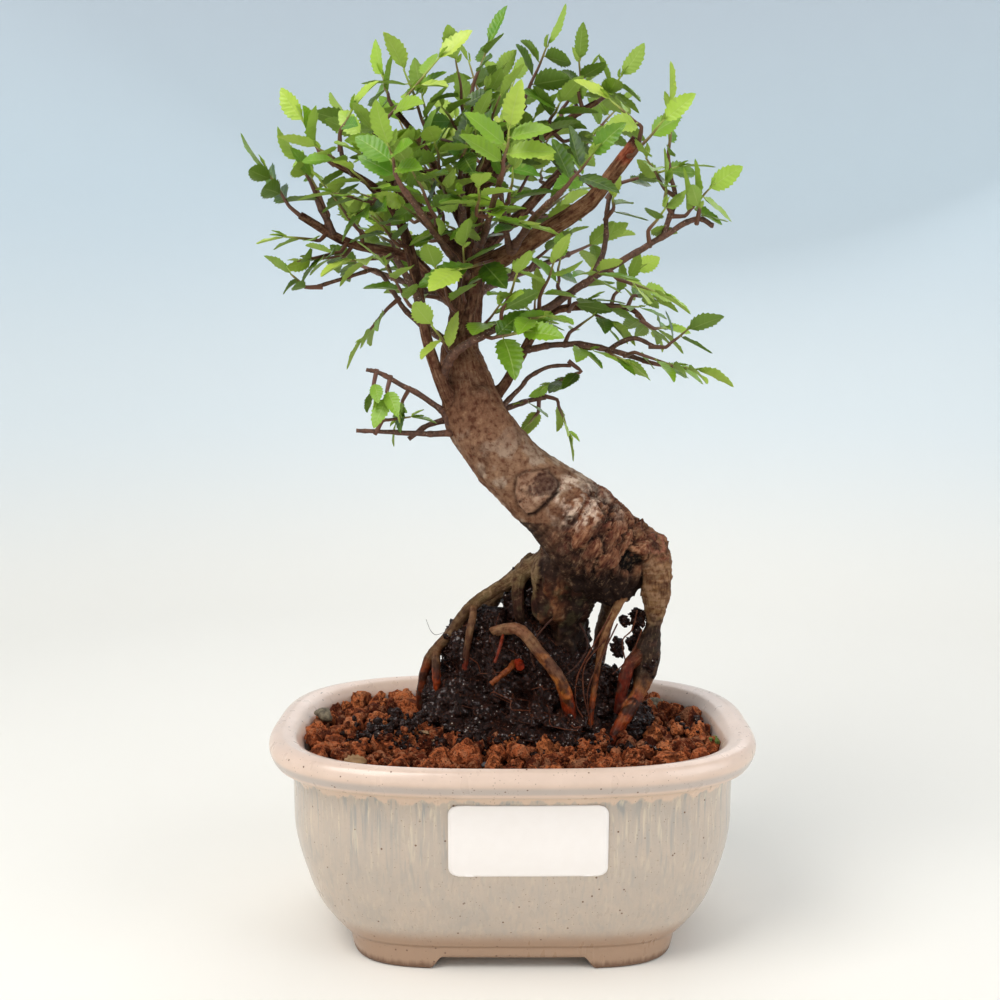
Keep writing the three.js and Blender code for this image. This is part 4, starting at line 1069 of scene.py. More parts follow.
def backdrop_look():
    """A pale room: warm white underfoot, pale blue behind, darker higher up the wall as painted shade."""
    look = Look("pale backdrop")
    rise = look.height()
    # the wall grows darker and bluer with height: painted shade
    tone = look.mix(rise.within(-20, 120), rgba(244, 238, 228), rgba(226, 232, 233))
    tone = look.mix(rise.within(80, 300), tone, rgba(208, 221, 229))
    tone = look.mix(rise.within(300, 620), tone, rgba(205, 211, 220))
    return look.done(look.surface(Base_Color=tone, Roughness=0.9, Specular_IOR_Level=0.1))


# The pot and what lies in it

POT_SIDES = 400


def oval_ring(section, sides=POT_SIDES, grow=0.0):
    """One section of the pot, between an ellipse and a rectangle in shape, at even angles."""
    z, length, depth, squareness = section
    turns = np.arange(sides) / sides * 2 * math.pi
    across, deep = np.cos(turns), np.sin(turns)
    reach = (np.abs(across / (length + grow)) ** squareness + np.abs(deep / (depth + grow)) ** squareness)
    reach = reach ** (-1 / squareness)
    return np.stack([across * reach, deep * reach, np.full(sides, float(z))], axis=1)


def section_at(sections, z):
    """The values of a table of sections at a height, without the height."""
    heights, *columns = zip(*sections)
    return [float(np.interp(z, heights, column)) for column in columns]


def pot_sway(points):
    """How much wider than its plain oval the hand-made pot is at each point, as a share of its size."""
    return 0.0035 * lumps(points * (1, 1, 0.4), 22, 3, 2)


def make_pot(glaze):
    """The pot as one skin: down its outside, round the feet, in through the drain hole and up its inside."""
    outside = smooth_route(POT_OUTSIDE[::-1], 5)
    inside = smooth_route(POT_INSIDE, 5)[1:]
    rim = smooth_route([POT_INSIDE[-2], POT_INSIDE[-1], POT_OUTSIDE[-1], POT_OUTSIDE[-2]], 5)[6:10]
    foot_low, foot_high = FOOT_RING
    inner_length, inner_depth = foot_low[1] - FOOT_WIDTH, foot_low[2] - FOOT_WIDTH
    sections = [tuple(section) for section in outside]
    sections += [(5.2, 42.9, 32.2, 4.35), foot_high, (2.4, 42.1, 32.05, 4.45), (1.2, 41.8, 32.0, 4.45)]
    ring_of_feet = len(sections)
    sections += [(0.35, 41.5, 31.9, 4.5), (0, 41.0, 31.5, 4.5)]
    sections += [(0, inner_length + 0.6, inner_depth + 0.6, 4.5)]
    sections += [(0.4, inner_length, inner_depth, 4.5), (UNDERSIDE - 0.3, inner_length, inner_depth, 4.4)]
    sections += [(UNDERSIDE, inner_length - 0.6, inner_depth - 0.6, 4.2), (UNDERSIDE, 20, 16, 3)]
    hole = [(UNDERSIDE, 0.6), (UNDERSIDE + 0.5, 0), (FLOOR_TOP - 0.5, 0), (FLOOR_TOP, 0.6)]
    sections += [(z, DRAIN_RADIUS + wider, DRAIN_RADIUS + wider, 2) for z, wider in hole]
    sections += [(FLOOR_TOP, 22, 18, 3), (FLOOR_TOP, 39, 27.5, 4), (FLOOR_TOP + 0.8, 41.6, 29.4, 4)]
    sections += [tuple(section) for section in inside] + [tuple(section) for section in rim]
    rings = np.array([oval_ring(section) for section in sections])
    for i in range(ring_of_feet - 3, ring_of_feet + 5):
        into_front = FRONT_NOTCH / 2 - np.abs(rings[i, :, 0])
        into_end = END_NOTCH / 2 - np.abs(rings[i, :, 1])
        share = smoothstep(-1.4, 1.6, np.maximum(into_front, into_end))
        rings[i, :, 2] += share * np.maximum(UNDERSIDE - 0.1 - rings[i, :, 2], 0)
    points = rings.reshape(-1, 3)
    points[:, :2] *= 1 + pot_sway(points)[:, None]
    faces = outward(points, quads(len(sections), POT_SIDES, closed_rows=True))
    new_piece("glazed_pot", new_mesh("glazed pot", points, faces), glaze, ["pot"])


def make_label(paper):
    """A rounded sticker that follows the pot's front wall, with nothing on it."""
    middle, low, high, corner = LABEL["middle"], LABEL["low"], LABEL["high"], LABEL["corner"]
    steps = np.concatenate([np.linspace(0, corner, 7)[:-1], np.linspace(corner, high - low - corner, 12),
                            np.linspace(high - low - corner, high - low, 7)[1:]])
    rings = []
    for step in steps:
        z = low + step
        into = max(corner - step, corner - (high - low - step), 0)
        half = LABEL["width"] / 2 - (corner - math.sqrt(max(corner ** 2 - into ** 2, 0)))
        length, depth, squareness = section_at(POT_OUTSIDE, z)
        across = middle + np.linspace(-half, half, 41)
        wall = -depth * (1 - np.abs(across / length) ** squareness) ** (1 / squareness)
        wall = wall * (1 + pot_sway(np.stack([across, wall, np.full(41, z)], axis=1)))
        lift = 0.05 + 0.12 * smoothstep(0.75, 1, np.abs(across - middle) / half)
        front = np.stack([across, wall - lift - LABEL["thick"], np.full(41, z)], axis=1)
        back = np.stack([across[::-1], (wall - 0.02)[::-1], np.full(41, z)], axis=1)
        rings.append(np.concatenate([front, back]))
    points, faces = loft(rings)
    new_piece("sticker", new_mesh("sticker", points, outward(points, faces)), paper, ["label"])


def into_wood(point, limbs, reach):
    """Whether a point is nearer to any of these limbs than this reach from their bark."""
    for starts, spans, first, more in limbs:
        places = np.clip(((point - starts) * spans).sum(axis=1) / (spans * spans).sum(axis=1), 0, 1)
        away = np.linalg.norm(point - starts - spans * places[:, None], axis=1)
        if (away < first + more * places + reach).any():
            return True
    return False


def root_spans():
    spans = []
    for name, points in LIMBS.items():
        if name.startswith("root"):
            route = np.array(points, dtype=float)
            step = np.diff(route, axis=0)
            spans.append((route[:-1, :3], step[:, :3], route[:-1, 3], step[:, 3]))
    return spans


def peat_reach(x, y, z):
    """How far out a point is in the mound of peat, 1 on its skin."""
    middle_x, middle_y, length, depth = section_at(PEAT, z)
    return math.hypot((x - middle_x) / length, (y - middle_y) / depth)


# How the grains fall: places tried for each, misses in a row that end it, and how closely grains nest
DROP_TRIES = 26
DROP_MISSES = 12
NESTING = 0.86
DROP_HALF_LENGTH = 54
DROP_HALF_DEPTH = 39


def drop_grains(random, sizes, limit, fits, floor):
    """Lets round grains fall one by one, each to the lowest of a few places, until the bed is full."""
    spots = np.zeros((0, 3))
    radii = np.zeros(0)
    misses = 0
    while misses < DROP_MISSES:
        radius = random.choice(sizes)
        best = None
        for _ in range(DROP_TRIES):
            x = random.uniform(-DROP_HALF_LENGTH, DROP_HALF_LENGTH)
            y = random.uniform(-DROP_HALF_DEPTH, DROP_HALF_DEPTH)
            rest = floor
            if len(radii):
                apart = np.hypot(spots[:, 0] - x, spots[:, 1] - y)
                touch = (radii + radius) * NESTING
                over = apart < touch
                if over.any():
                    rest = max(rest, (spots[over, 2] + np.sqrt(touch[over] ** 2 - apart[over] ** 2)).max())
            lower = best is None or rest < best[2]
            if lower and rest + radius * 0.5 < limit(x, y) and fits(x, y, rest, radius):
                best = (x, y, rest)
        if best is None:
            misses += 1
            continue
        misses = 0
        spots = np.vstack([spots, best])
        radii = np.append(radii, radius)
    return spots, radii


def broken_lump(random, points, roughness, seed):
    """The points of a ball of radius 1, broken into a rough lump with flat sides, and how deep each lies."""
    worn = points * (1 + random.uniform(-0.2, 0.2, 3))
    for _ in range(10):
        cut = unit(random.normal(size=3))
        over = np.maximum(worn @ cut - random.uniform(0.52, 0.84), 0)
        worn = worn - np.outer(over * 0.94, cut)
    knobs = 0.5 - nearest_cells(points, 0.5, seed)
    bumps = lumps(points, 1.0, seed, 2) * 0.5 + lumps(points, 0.38, seed + 3, 2) * 0.4 + knobs * 0.7
    return worn * (1 + bumps * roughness)[:, None], -bumps


def rough_shapes(name, count, level, roughness, seed):
    """Rough lumps, each of its own shape, about one unit in radius."""
    random = np.random.default_rng(seed)
    points, faces = ball(level)
    shapes = []
    for i in range(count):
        lump, pits = broken_lump(random, points, roughness, seed + i)
        shapes.append(unit_mesh(f"{name} shape {i}", lump, faces))
        note(shapes[-1], "pits", "FLOAT", pits)
    return shapes


def random_turns(random, count):
    turns = random.normal(size=(count, 4))
    return turns / np.linalg.norm(turns, axis=1)[:, None]


def scatter_piece(name, tree, shapes, finish, points, sizes, random, nodes, tint=None, turns=None):
    """A piece that has one of these shapes on each point; its mesh."""
    count = len(points)
    bag = shape_collection(name, shapes)
    seeds = new_mesh(name, points, [])
    note(seeds, "holds", "BOOLEAN", np.ones(count))
    note(seeds, "size", "FLOAT", np.asarray(sizes) * MM)
    note(seeds, "pick", "INT", random.integers(0, len(shapes), count))
    note(seeds, "turn", "QUATERNION", random_turns(random, count) if turns is None else turns)
    if tint is not None:
        note(seeds, "tint", "FLOAT", tint)
    mesh = grown(name, seeds, tree, Shapes=bag, Finish=finish)
    empty_bag(bag)
    new_piece(name, mesh, None, nodes)
    return mesh


GRAIN_SIZES = [1.5, 1.8, 2.1, 2.4, 2.7, 3.0, 3.4, 3.9]
GRAIN_SHAPES = 20
CLAY_BITS = 420


GRAIN_LAYER = 5.2
HEAP_RISE = 2.2
SIGHT_DEPTH = 0.4


def make_bed(tree, clay):
    """Baked clay grains that lie as they fell, over the rest of the bed as one body darkened with painted shade;
    their ground. Grains that lie deeper are darkened with painted shade too.
    """
    random = np.random.default_rng(7)
    roots = root_spans()

    def fits(x, y, z, radius):
        length, depth, squareness = section_at(POT_INSIDE, z)
        inset = radius * 0.8
        reach = (abs(x) / (length - inset)) ** squareness + (abs(y) / (depth - inset)) ** squareness
        if reach > 1 or peat_reach(x, y, z) < 0.93:
            return False
        return not into_wood(np.array([x, y, z]), roots, radius * 0.75)

    def heaped_top(x, y):
        return BED_TOP + 2.6 + HEAP_RISE * max(0.0, 1 - math.hypot((x + 6) / 44, (y - 5) / 32) ** 2)

    spots, radii = drop_grains(random, GRAIN_SIZES, heaped_top, fits, BED_TOP - GRAIN_LAYER)
    spots = spots + random.uniform(-0.3, 0.3, spots.shape)
    high = spots[:, 2] + radii > BED_TOP - SIGHT_DEPTH
    # the tint is a random tone for each grain, with painted shade: grains that lie deeper get darker
    tint = random.uniform(0, 1, len(radii)) ** 1.3 * smoothstep(BED_TOP - 2.5, BED_TOP + 1, spots[:, 2])
    meshes = []
    for name, level, chosen in (("clay_grains", 3, high), ("lower_clay_grains", 2, ~high)):
        shapes = rough_shapes(name, GRAIN_SHAPES, level, 0.46, 40 * level)
        meshes.append(scatter_piece(name, tree, shapes, clay, spots[chosen], radii[chosen] * 1.2, random,
                                    ["soil"], tint[chosen]))
    ground = ground_of(meshes)
    fines = np.column_stack([random.uniform(-50, 50, CLAY_BITS), random.uniform(-35, 35, CLAY_BITS)])
    fines = fines[(np.abs(fines[:, 0]) / 50) ** 3 + (np.abs(fines[:, 1]) / 35) ** 3 < 1]
    sizes = 0.4 + random.exponential(0.28, len(fines)).clip(0, 0.9)
    fines = np.array([(x, y, rest_on(ground, x, y) + size * 0.4) for (x, y), size in zip(fines, sizes)])
    scatter_piece("clay_bits", tree, rough_shapes("clay bit", 10, 2, 0.5, 300), clay, fines, sizes, random,
                  (), random.uniform(0, 0.5, len(fines)))
    rings = [oval_ring((z, *section_at(POT_INSIDE, z)), 96, -GAP) for z in (8.9, 16, 26, 36, BED_TOP - 4.6)]
    middle = rings[-1] * (0.5, 0.5, 1)
    points, faces = loft(rings + [middle])
    body = new_mesh("bed below", points, outward(points, faces))
    # painted shade: the body below the grains takes a low, dark tint
    note(body, "tint", "FLOAT", np.full(len(points), 0.1))
    new_piece("bed_below", body, clay, ["soil"])
    return ground


def ground_of(meshes):
    """The ground that these meshes make, to be looked down on."""
    points, faces = [], []
    for mesh in meshes:
        faces += [[index + len(points) for index in face.vertices] for face in mesh.polygons]
        points += [vertex.co.copy() for vertex in mesh.vertices]
    return BVHTree.FromPolygons(points, faces)


def rest_on(ground, x, y):
    """The height at which a crumb would come to rest on the grains."""
    above = Vector((np.array([x, y, BED_TOP + 20]) * MM + HOME).tolist())
    hit = ground.ray_cast(above, Vector((0, 0, -1)))[0]
    return (hit.z - HOME[2]) / MM if hit else BED_TOP - 2


def mound_ring(height, sides):
    """One level of the peat's mound."""
    x, y, length, depth = section_at(PEAT, height)
    turns = np.arange(sides) / sides * 2 * math.pi
    return np.stack([x + length * np.cos(turns), y + depth * np.sin(turns), np.full(sides, height)], axis=1)


def crumbly(points, outwards):
    """Points of peat, pushed in and out into crumbs of two sizes, with hollows between clumps."""
    clumps = lumps(points, 6, 1, 3)
    big = 1 - nearest_cells(points, 2.6, 1)
    small = 1 - nearest_cells(points, 1.1, 2)
    rough = clumps * 2.4 + big * 1.7 + small * 1.1 - 3.0 - 2.2 * smoothstep(0.12, 0.4, -clumps)
    return points + outwards * rough[:, None]


# Clumps of peat that cling to the wood above the mound: x, y, z, half sizes
PEAT_CLUMPS = [
    (7, 8, 88, 8.5, 6, 8), (1, 7, 84, 5, 5, 5), (12, 9, 90, 7, 5, 5), (16, 7, 75, 7, 5, 7),
    (29.5, -1, 80.5, 2.4, 2, 2), (33, -0.5, 81.6, 2.6, 2, 3), (-7.4, 4, 76.4, 4, 3.4, 3),
    (2.4, -1.6, 69.6, 3, 2.6, 2.8),
    (32.6, 0, 75, 3.4, 2.6, 5.6), (28.4, 0, 72, 3, 2, 4), (28, 0, 65, 6, 5, 6),
    (36.5, -3.6, 68.5, 2.6, 1.6, 4.2),
]

MOUND_SIDES = 340
MOUND_RINGS = 100
# The heap of loose peat on the left of the bed, and how many crumbs lie where
PEAT_PATCH = np.array([-32, -8])
MOUND_CRUMBS = 2600
CLUMP_CRUMBS = 900
PATCH_CRUMBS = 900
EDGE_CRUMBS = 260
RIGHT_CRUMBS = 40


def make_peat(tree, peat, ground):
    """The old root ball: a rough mound between the roots, with clumps on the wood and crumbs over the bed."""
    random = np.random.default_rng(3)
    rings = [mound_ring(height, MOUND_SIDES) for height in np.linspace(PEAT[0][0], PEAT[-1][0], MOUND_RINGS)]
    points, faces = loft(rings)
    outwards = unit_rows(points - PEAT_MIDDLE)
    surface = crumbly(points, outwards)
    mound = new_mesh("peat mound", surface, outward(points, faces))
    new_piece("peat_mound", mound, peat, ["peat"])
    shape, skin = ball(4)
    clumps, clump_faces = [], []
    for x, y, z, *half in PEAT_CLUMPS:
        clump_faces += [tuple(index + len(clumps) * len(shape) for index in face) for face in skin]
        clumps.append(crumbly(shape * half + (x, y, z), shape * min(half[0] / 4, 1)))
    clung = np.concatenate(clumps)
    new_piece("peat_on_roots", new_mesh("peat on roots", clung, clump_faces), peat, ())
    held = surface[surface[:, 2] > 51]
    spots = np.concatenate([random.choice(held, MOUND_CRUMBS), random.choice(clung, CLUMP_CRUMBS)])
    spots = spots + random.normal(size=spots.shape) * 0.25
    sizes = 0.22 + random.exponential(0.26, len(spots)).clip(0, 1.1)
    scatter_piece("clinging_peat_crumbs", tree, rough_shapes("crumb", 14, 1, 0.7, 60), peat, spots, sizes,
                  random, ())
    patch = random.normal(size=(PATCH_CRUMBS, 2)) * (4.6, 3.4) + PEAT_PATCH
    edge = np.column_stack([random.uniform(-32, 38, EDGE_CRUMBS), random.uniform(-20, -15, EDGE_CRUMBS)])
    right = random.normal(size=(RIGHT_CRUMBS, 2)) * (3, 3) + (47, -2)
    places = np.concatenate([patch, edge, right])
    inside = (np.abs(places[:, 0]) / 51) ** 3 + (np.abs(places[:, 1]) / 36) ** 3 < 1
    places = places[inside]
    sizes = 0.25 + random.exponential(0.3, len(places)).clip(0, 1.1)
    heap = 2.6 * np.exp(-(((places - PEAT_PATCH) / (6, 4.4)) ** 2).sum(axis=1))
    spots = [(x, y, rest_on(ground, x, y) + size * 0.3 + random.uniform(0, high))
             for (x, y), size, high in zip(places, sizes, heap)]
    scatter_piece("peat_crumbs", tree, rough_shapes("loose crumb", 12, 2, 0.8, 160), peat, spots, sizes,
                  random, ["peat"])


# Small things on the bed: x, y, half length, half width, half height, turn in degrees
GREY_PEBBLES = [
    (-51.3, 4.6, 3.4, 2.3, 2.2, -50), (35, -0.8, 2.4, 1.9, 1.8, 10), (41.6, 25, 3.8, 2.8, 2.6, 0),
]
SLATE_BITS = [
    (-6.6, -27.2, 1.6, 1.2, 0.9, 20), (1.6, -32.4, 1.8, 1.3, 1, -15), (-18.5, -10.5, 1.4, 1, 0.8, 40),
]
PALE_CHIPS = [
    (-32.3, 7.9, 3.4, 1.5, 1.1, 35), (-22.7, -10.1, 2.1, 1.1, 0.5, -40), (-19.9, -12.7, 1.1, 1, 0.8, 0),
    (35.9, -11.3, 2, 0.9, 0.7, 0),
]
# The moss has x, y, z and size, and the dry leaf x, y and length
MOSS = (52.4, -10.7, 51.4, 1.5)
MOSS_BITS = 26
DRY_LEAF = (-42.5, -29.8, 7.4)


def make_litter(tree, ground):
    """Pebbles, bark chips, a dry leaf and a bit of moss on the bed."""
    random = np.random.default_rng(5)
    shape, skin = ball(3)
    kinds = (("grey_pebbles", GREY_PEBBLES, (70, 60, 44), (122, 108, 84), 0.16),
             ("slate_bits", SLATE_BITS, (52, 52, 54), (90, 90, 92), 0.24),
             ("pale_chips", PALE_CHIPS, (104, 76, 48), (150, 118, 82), 0.5))
    for name, table, dark, light, roughness in kinds:
        points, faces = [], []
        for k, (x, y, *half, degrees) in enumerate(table):
            lump = broken_lump(random, shape, roughness, k + 20)[0] * half
            turn = math.radians(degrees)
            across = lump[:, 0] * math.cos(turn) - lump[:, 1] * math.sin(turn)
            deep = lump[:, 0] * math.sin(turn) + lump[:, 1] * math.cos(turn)
            faces += [tuple(index + k * len(shape) for index in face) for face in skin]
            middle = rest_on(ground, x, y) + half[2] * 0.45
            points.append(np.column_stack([across + x, deep + y, lump[:, 2] + middle]))
        mesh = new_mesh(name, np.concatenate(points), faces)
        new_piece(name, mesh, stone_look(name.replace("_", " "), dark, light), ())
    x, y, length = DRY_LEAF
    foot = np.array([x, y, rest_on(ground, x, y) + 0.9])
    blade = unit_mesh("dry leaf", *flat_leaf())
    direction, normal = unit(np.array([0.94, 0.1, 0.3])), unit(np.array([-0.2, -0.4, 0.85]))
    normal = unit(normal - direction * np.dot(normal, direction))
    scatter_piece("dry_leaf", tree, [blade], dry_leaf_look(), [foot], [length], random, (),
                  turns=[tuple(quaternion(direction, normal))])
    *middle, size = MOSS
    spots = np.array(middle) + random.normal(size=(MOSS_BITS, 3)) * size * (0.5, 0.6, 0.35)
    scatter_piece("moss_tuft", tree, rough_shapes("moss", 4, 1, 0.5, 90), moss_look(), spots,
                  random.uniform(0.35, 0.75, MOSS_BITS) * 0.9, random, ())


def flat_leaf():
    """Points and faces of a curled dry blade one unit long, with a wavy edge and a thin closed body."""
    rows, columns = 15, 7
    top = []
    for i in range(rows):
        share = (i + 0.02) / (rows - 1 + 0.04)
        half = 0.21 * math.sin(math.pi * share) ** 0.8 * (1 + 0.1 * (-1) ** i) + 0.004
        for k in range(columns):
            across = (k / (columns - 1) * 2 - 1) * half
            fold = 1.5 if across > 0 else 0.5
            rise = fold * abs(across) ** 1.2 + 0.03 * math.sin(share * 9 + k) - 0.6 * (share - 0.5) ** 2
            top.append((share, across, rise))
    ring = [np.array(top[i * columns:(i + 1) * columns]) for i in range(rows)]
    rings = [np.concatenate([row, row[::-1] - (0, 0, 0.03)]) for row in ring]
    points, faces = loft(rings)
    return points, outward(points, faces)


# The wood

FIRM_LIMBS = [
    "trunk", "root_left", "root_left_fork", "root_left_drop", "root_stub", "root_arch", "root_centre",
    "root_right", "root_right_fork", "root_thin", "root_back", "root_back_left", "great_limb", "low_right",
    "riser", "left_limb", "upper_left", "crown_left", "crown_mid", "crown_right", "back_right", "back_left",
    "back_top",
]
FILLET = 2.4
GRAIN_OF_SKIN = 0.485
FAR = 1e9


# The columns of the table of short stretches of the thick limbs
START, STEP, SIDE = slice(0, 3), slice(3, 6), slice(12, 15)
RADIUS, CHANGE, LIMB, RUN, IS_FIRST, IS_LAST, WHOLE = 6, 7, 8, 9, 10, 11, 15


def firm_spans():
    """The table of stretches: start, step, radius, its change, limb, run so far, ends, side, whole run."""
    rows = []
    for number, name in enumerate(FIRM_LIMBS):
        route = smooth_route(LIMBS[name], 4)
        steps = np.diff(route, axis=0)
        runs = np.concatenate([[0], np.cumsum(np.linalg.norm(steps[:, :3], axis=1))])
        side = None
        for i, step in enumerate(steps):
            along = unit(step[:3])
            if side is None:
                side = np.array([0.0, 1.0, 0.0] if abs(along[1]) < 0.9 else [1.0, 0.0, 0.0])
            side = unit(side - along * np.dot(side, along))
            rows.append([*route[i, :3], *step[:3], route[i, 3], step[3], number, runs[i], i == 0,
                         i == len(steps) - 1, *side, runs[-1]])
    return np.array(rows, dtype=float)


def wood_skin(points, spans):
    """For each point: distance from the wood's smooth skin, the way out, and its place on which limb."""
    count = len(points)
    distance, way = np.zeros(count), np.zeros((count, 3))
    facts = np.zeros((count, 5))
    ends = spans[:, START] + spans[:, STEP]
    lowest, highest = np.minimum(spans[:, START], ends), np.maximum(spans[:, START], ends)
    reach = np.maximum(spans[:, RADIUS], spans[:, RADIUS] + spans[:, CHANGE])[:, None]
    order = np.argsort(points[:, 2])
    for block in np.array_split(order, max(count // 1500, 1)):
        place = points[block]
        low, high = place.min(axis=0) - 7, place.max(axis=0) + 7
        close = (lowest - reach < high) & (highest + reach > low)
        chosen = spans[close.all(axis=1)]
        starts, steps, sides = chosen[:, START], chosen[:, STEP], chosen[:, SIDE]
        opens, closes = chosen[:, IS_FIRST] > 0, chosen[:, IS_LAST] > 0
        size = (steps * steps).sum(axis=1)
        away = place[:, None, :] - starts[None]
        raw = (away * steps).sum(axis=2) / size
        share = np.clip(raw, 0, 1)
        share = np.where((opens & (raw < 0)) | (closes & (raw > 1)), raw, share)
        out = away - steps[None] * share[:, :, None]
        length = np.linalg.norm(out, axis=2)
        radius = chosen[:, RADIUS] + chosen[:, CHANGE] * np.clip(share, 0, 1)
        gap = length - radius
        # A limb's end is flat: past it, the distance along the limb counts
        past = np.maximum(-raw * opens, (raw - 1) * closes) * np.sqrt(size)
        gap = np.where(past > 0, np.maximum(gap, past), gap)
        # The nearest stretch of each limb, and the limbs from the nearest on
        limbs = np.unique(chosen[:, LIMB])
        best = np.array([np.where(chosen[:, LIMB] == limb, gap, FAR).argmin(axis=1) for limb in limbs])
        rows = np.arange(len(block))
        gaps = gap[rows, best]
        rank = np.argsort(gaps, axis=0)
        first = best[rank[0], rows]
        nearest = gap[rows, first]
        forward = unit_rows(steps[first])
        run = chosen[first, RUN] + np.clip(raw[rows, first], 0, 1) * np.sqrt(size[first])
        turn = np.arctan2((np.cross(forward, sides[first]) * out[rows, first]).sum(axis=1),
                          (sides[first] * out[rows, first]).sum(axis=1))
        limb, whole = chosen[first, LIMB], chosen[first, WHOLE]
        facts[block] = np.column_stack([limb, run, turn, radius[rows, first], whole])
        outs = out[rows, first] / np.maximum(length[rows, first], 1e-6)[:, None]
        flat = (past[rows, first] > 0) & (past[rows, first] > length[rows, first] - radius[rows, first])
        sense = np.where(raw[rows, first] > 0.5, 1.0, -1.0)[:, None]
        outs = np.where(flat[:, None], forward * sense, outs)
        # Where two limbs meet, the corner between them is filled
        if len(limbs) > 1:
            second = best[rank[1], rows]
            other = gap[rows, second]
            widest = np.minimum(radius[rows, first], radius[rows, second])
            fillet = np.minimum(0.35 + 0.5 * widest, FILLET)
            meet = np.maximum(fillet - np.abs(other - nearest), 0) / fillet
            nearest = nearest - meet ** 2 * fillet / 4
            other_out = out[rows, second] / np.maximum(length[rows, second], 1e-6)[:, None]
            outs = outs * (1 - meet[:, None] / 2) + other_out * meet[:, None] / 2
        distance[block] = nearest
        way[block] = unit_rows(outs)
    return distance, way, facts


def unit_rows(vectors):
    return vectors / np.maximum(np.linalg.norm(vectors, axis=1), 1e-9)[:, None]


def add_knobs(points, distance, way):
    """The same, with the knots and burrs grown out of the skin."""
    for x, y, z, across, height in KNOBS:
        half = np.array([across / 2, across / 2, height / 2])
        out = (points - (x, y, z)) / half
        length = np.maximum(np.linalg.norm(out, axis=1), 1e-6)
        gap = (length - 1) * half.min()
        meet = np.maximum(1.6 - np.abs(gap - distance), 0) / 1.6
        own = unit_rows(out / half)
        nearer = gap < distance
        share = np.where(nearer, 1 - meet / 2, meet / 2)[:, None]
        way = unit_rows(way * (1 - share) + own * share)
        distance = np.minimum(gap, distance) - meet ** 2 * 0.4
    return distance, way


def one_skin(meshes_points, voxel):
    """One closed skin round many lofts that run into each other."""
    points, faces, count = [], [], 0
    for some, their in meshes_points:
        points.append(some)
        faces += [tuple(index + count for index in face) for face in their]
        count += len(some)
    raw = new_mesh("rough wood", np.concatenate(points), faces)
    holder = bpy.data.objects.new("rough wood", raw)
    bpy.context.scene.collection.objects.link(holder)
    skin = holder.modifiers.new("skin", "REMESH")
    skin.mode = "VOXEL"
    skin.voxel_size = voxel * MM
    graph = bpy.context.evaluated_depsgraph_get()
    made = bpy.data.meshes.new_from_object(holder.evaluated_get(graph))
    bpy.data.objects.remove(holder)
    return made


def mesh_points(mesh):
    flat = np.empty(len(mesh.vertices) * 3, dtype=np.float32)
    mesh.vertices.foreach_get("co", flat)
    return (flat.reshape(-1, 3).astype(float) - HOME) / MM


def move_points(mesh, points):
    flat = (np.asarray(points) * MM + HOME).astype(np.float32).ravel()
    mesh.vertices.foreach_set("co", flat)
    mesh.update()


def rough_limb(name):
    """A plain round loft of a limb, for the skin to start from."""
    route = smooth_route(LIMBS[name], 3)
    side = np.array([0.3, 1.0, 0.1])
    rings = []
    for i, point in enumerate(route):
        along = unit(route[min(i + 1, len(route) - 1), :3] - route[max(i - 1, 0), :3])
        side = unit(side - along * np.dot(side, along))
        turns = np.arange(12) / 12 * 2 * math.pi
        other = np.cross(along, side)
        ring = np.outer(np.cos(turns), side) + np.outer(np.sin(turns), other)
        rings.append(point[:3] + point[3] * ring)
    points, faces = loft(rings)
    return points, outward(points, faces)


def rough_knob(knob):
    x, y, z, across, height = knob
    points, faces = ball(2)
    return points * (across / 2, across / 2, height / 2) + (x, y, z), faces


FLAKE_ALONG = np.array([-0.5, 0, -0.86])
FLAKE_ACROSS = np.array([0.86, 0, -0.5])
FLAKE_SIZE = 3.9

# Places on the wood with a look of their own: a spot in the middle, its size
BUTTRESS = (24, -7, 105, 14)
BURR = (38.5, -3, 101.5, 4.6)
SCAR = (8.6, -9, 118.2, 3.4)
HOLLOW = (30.6, -7, 98, 3.4)
NOTCH = (34.6, -2, 105, 2.4)
PALE_PATCH = (16.5, -8, 113.5, 7.5)
# The outline of the squarish raised plate on the trunk's front: x, z; the first stretches are cracked open
PLATE_OUTLINE = [
    (3.7, 110), (5.5, 110.3), (11.5, 116.2), (12, 118.5), (9, 121.5), (3.5, 121.3), (1, 119.8), (0.3, 115.5),
    (1.3, 112.5), (3.7, 110),
]
OPEN_STRETCHES = 2

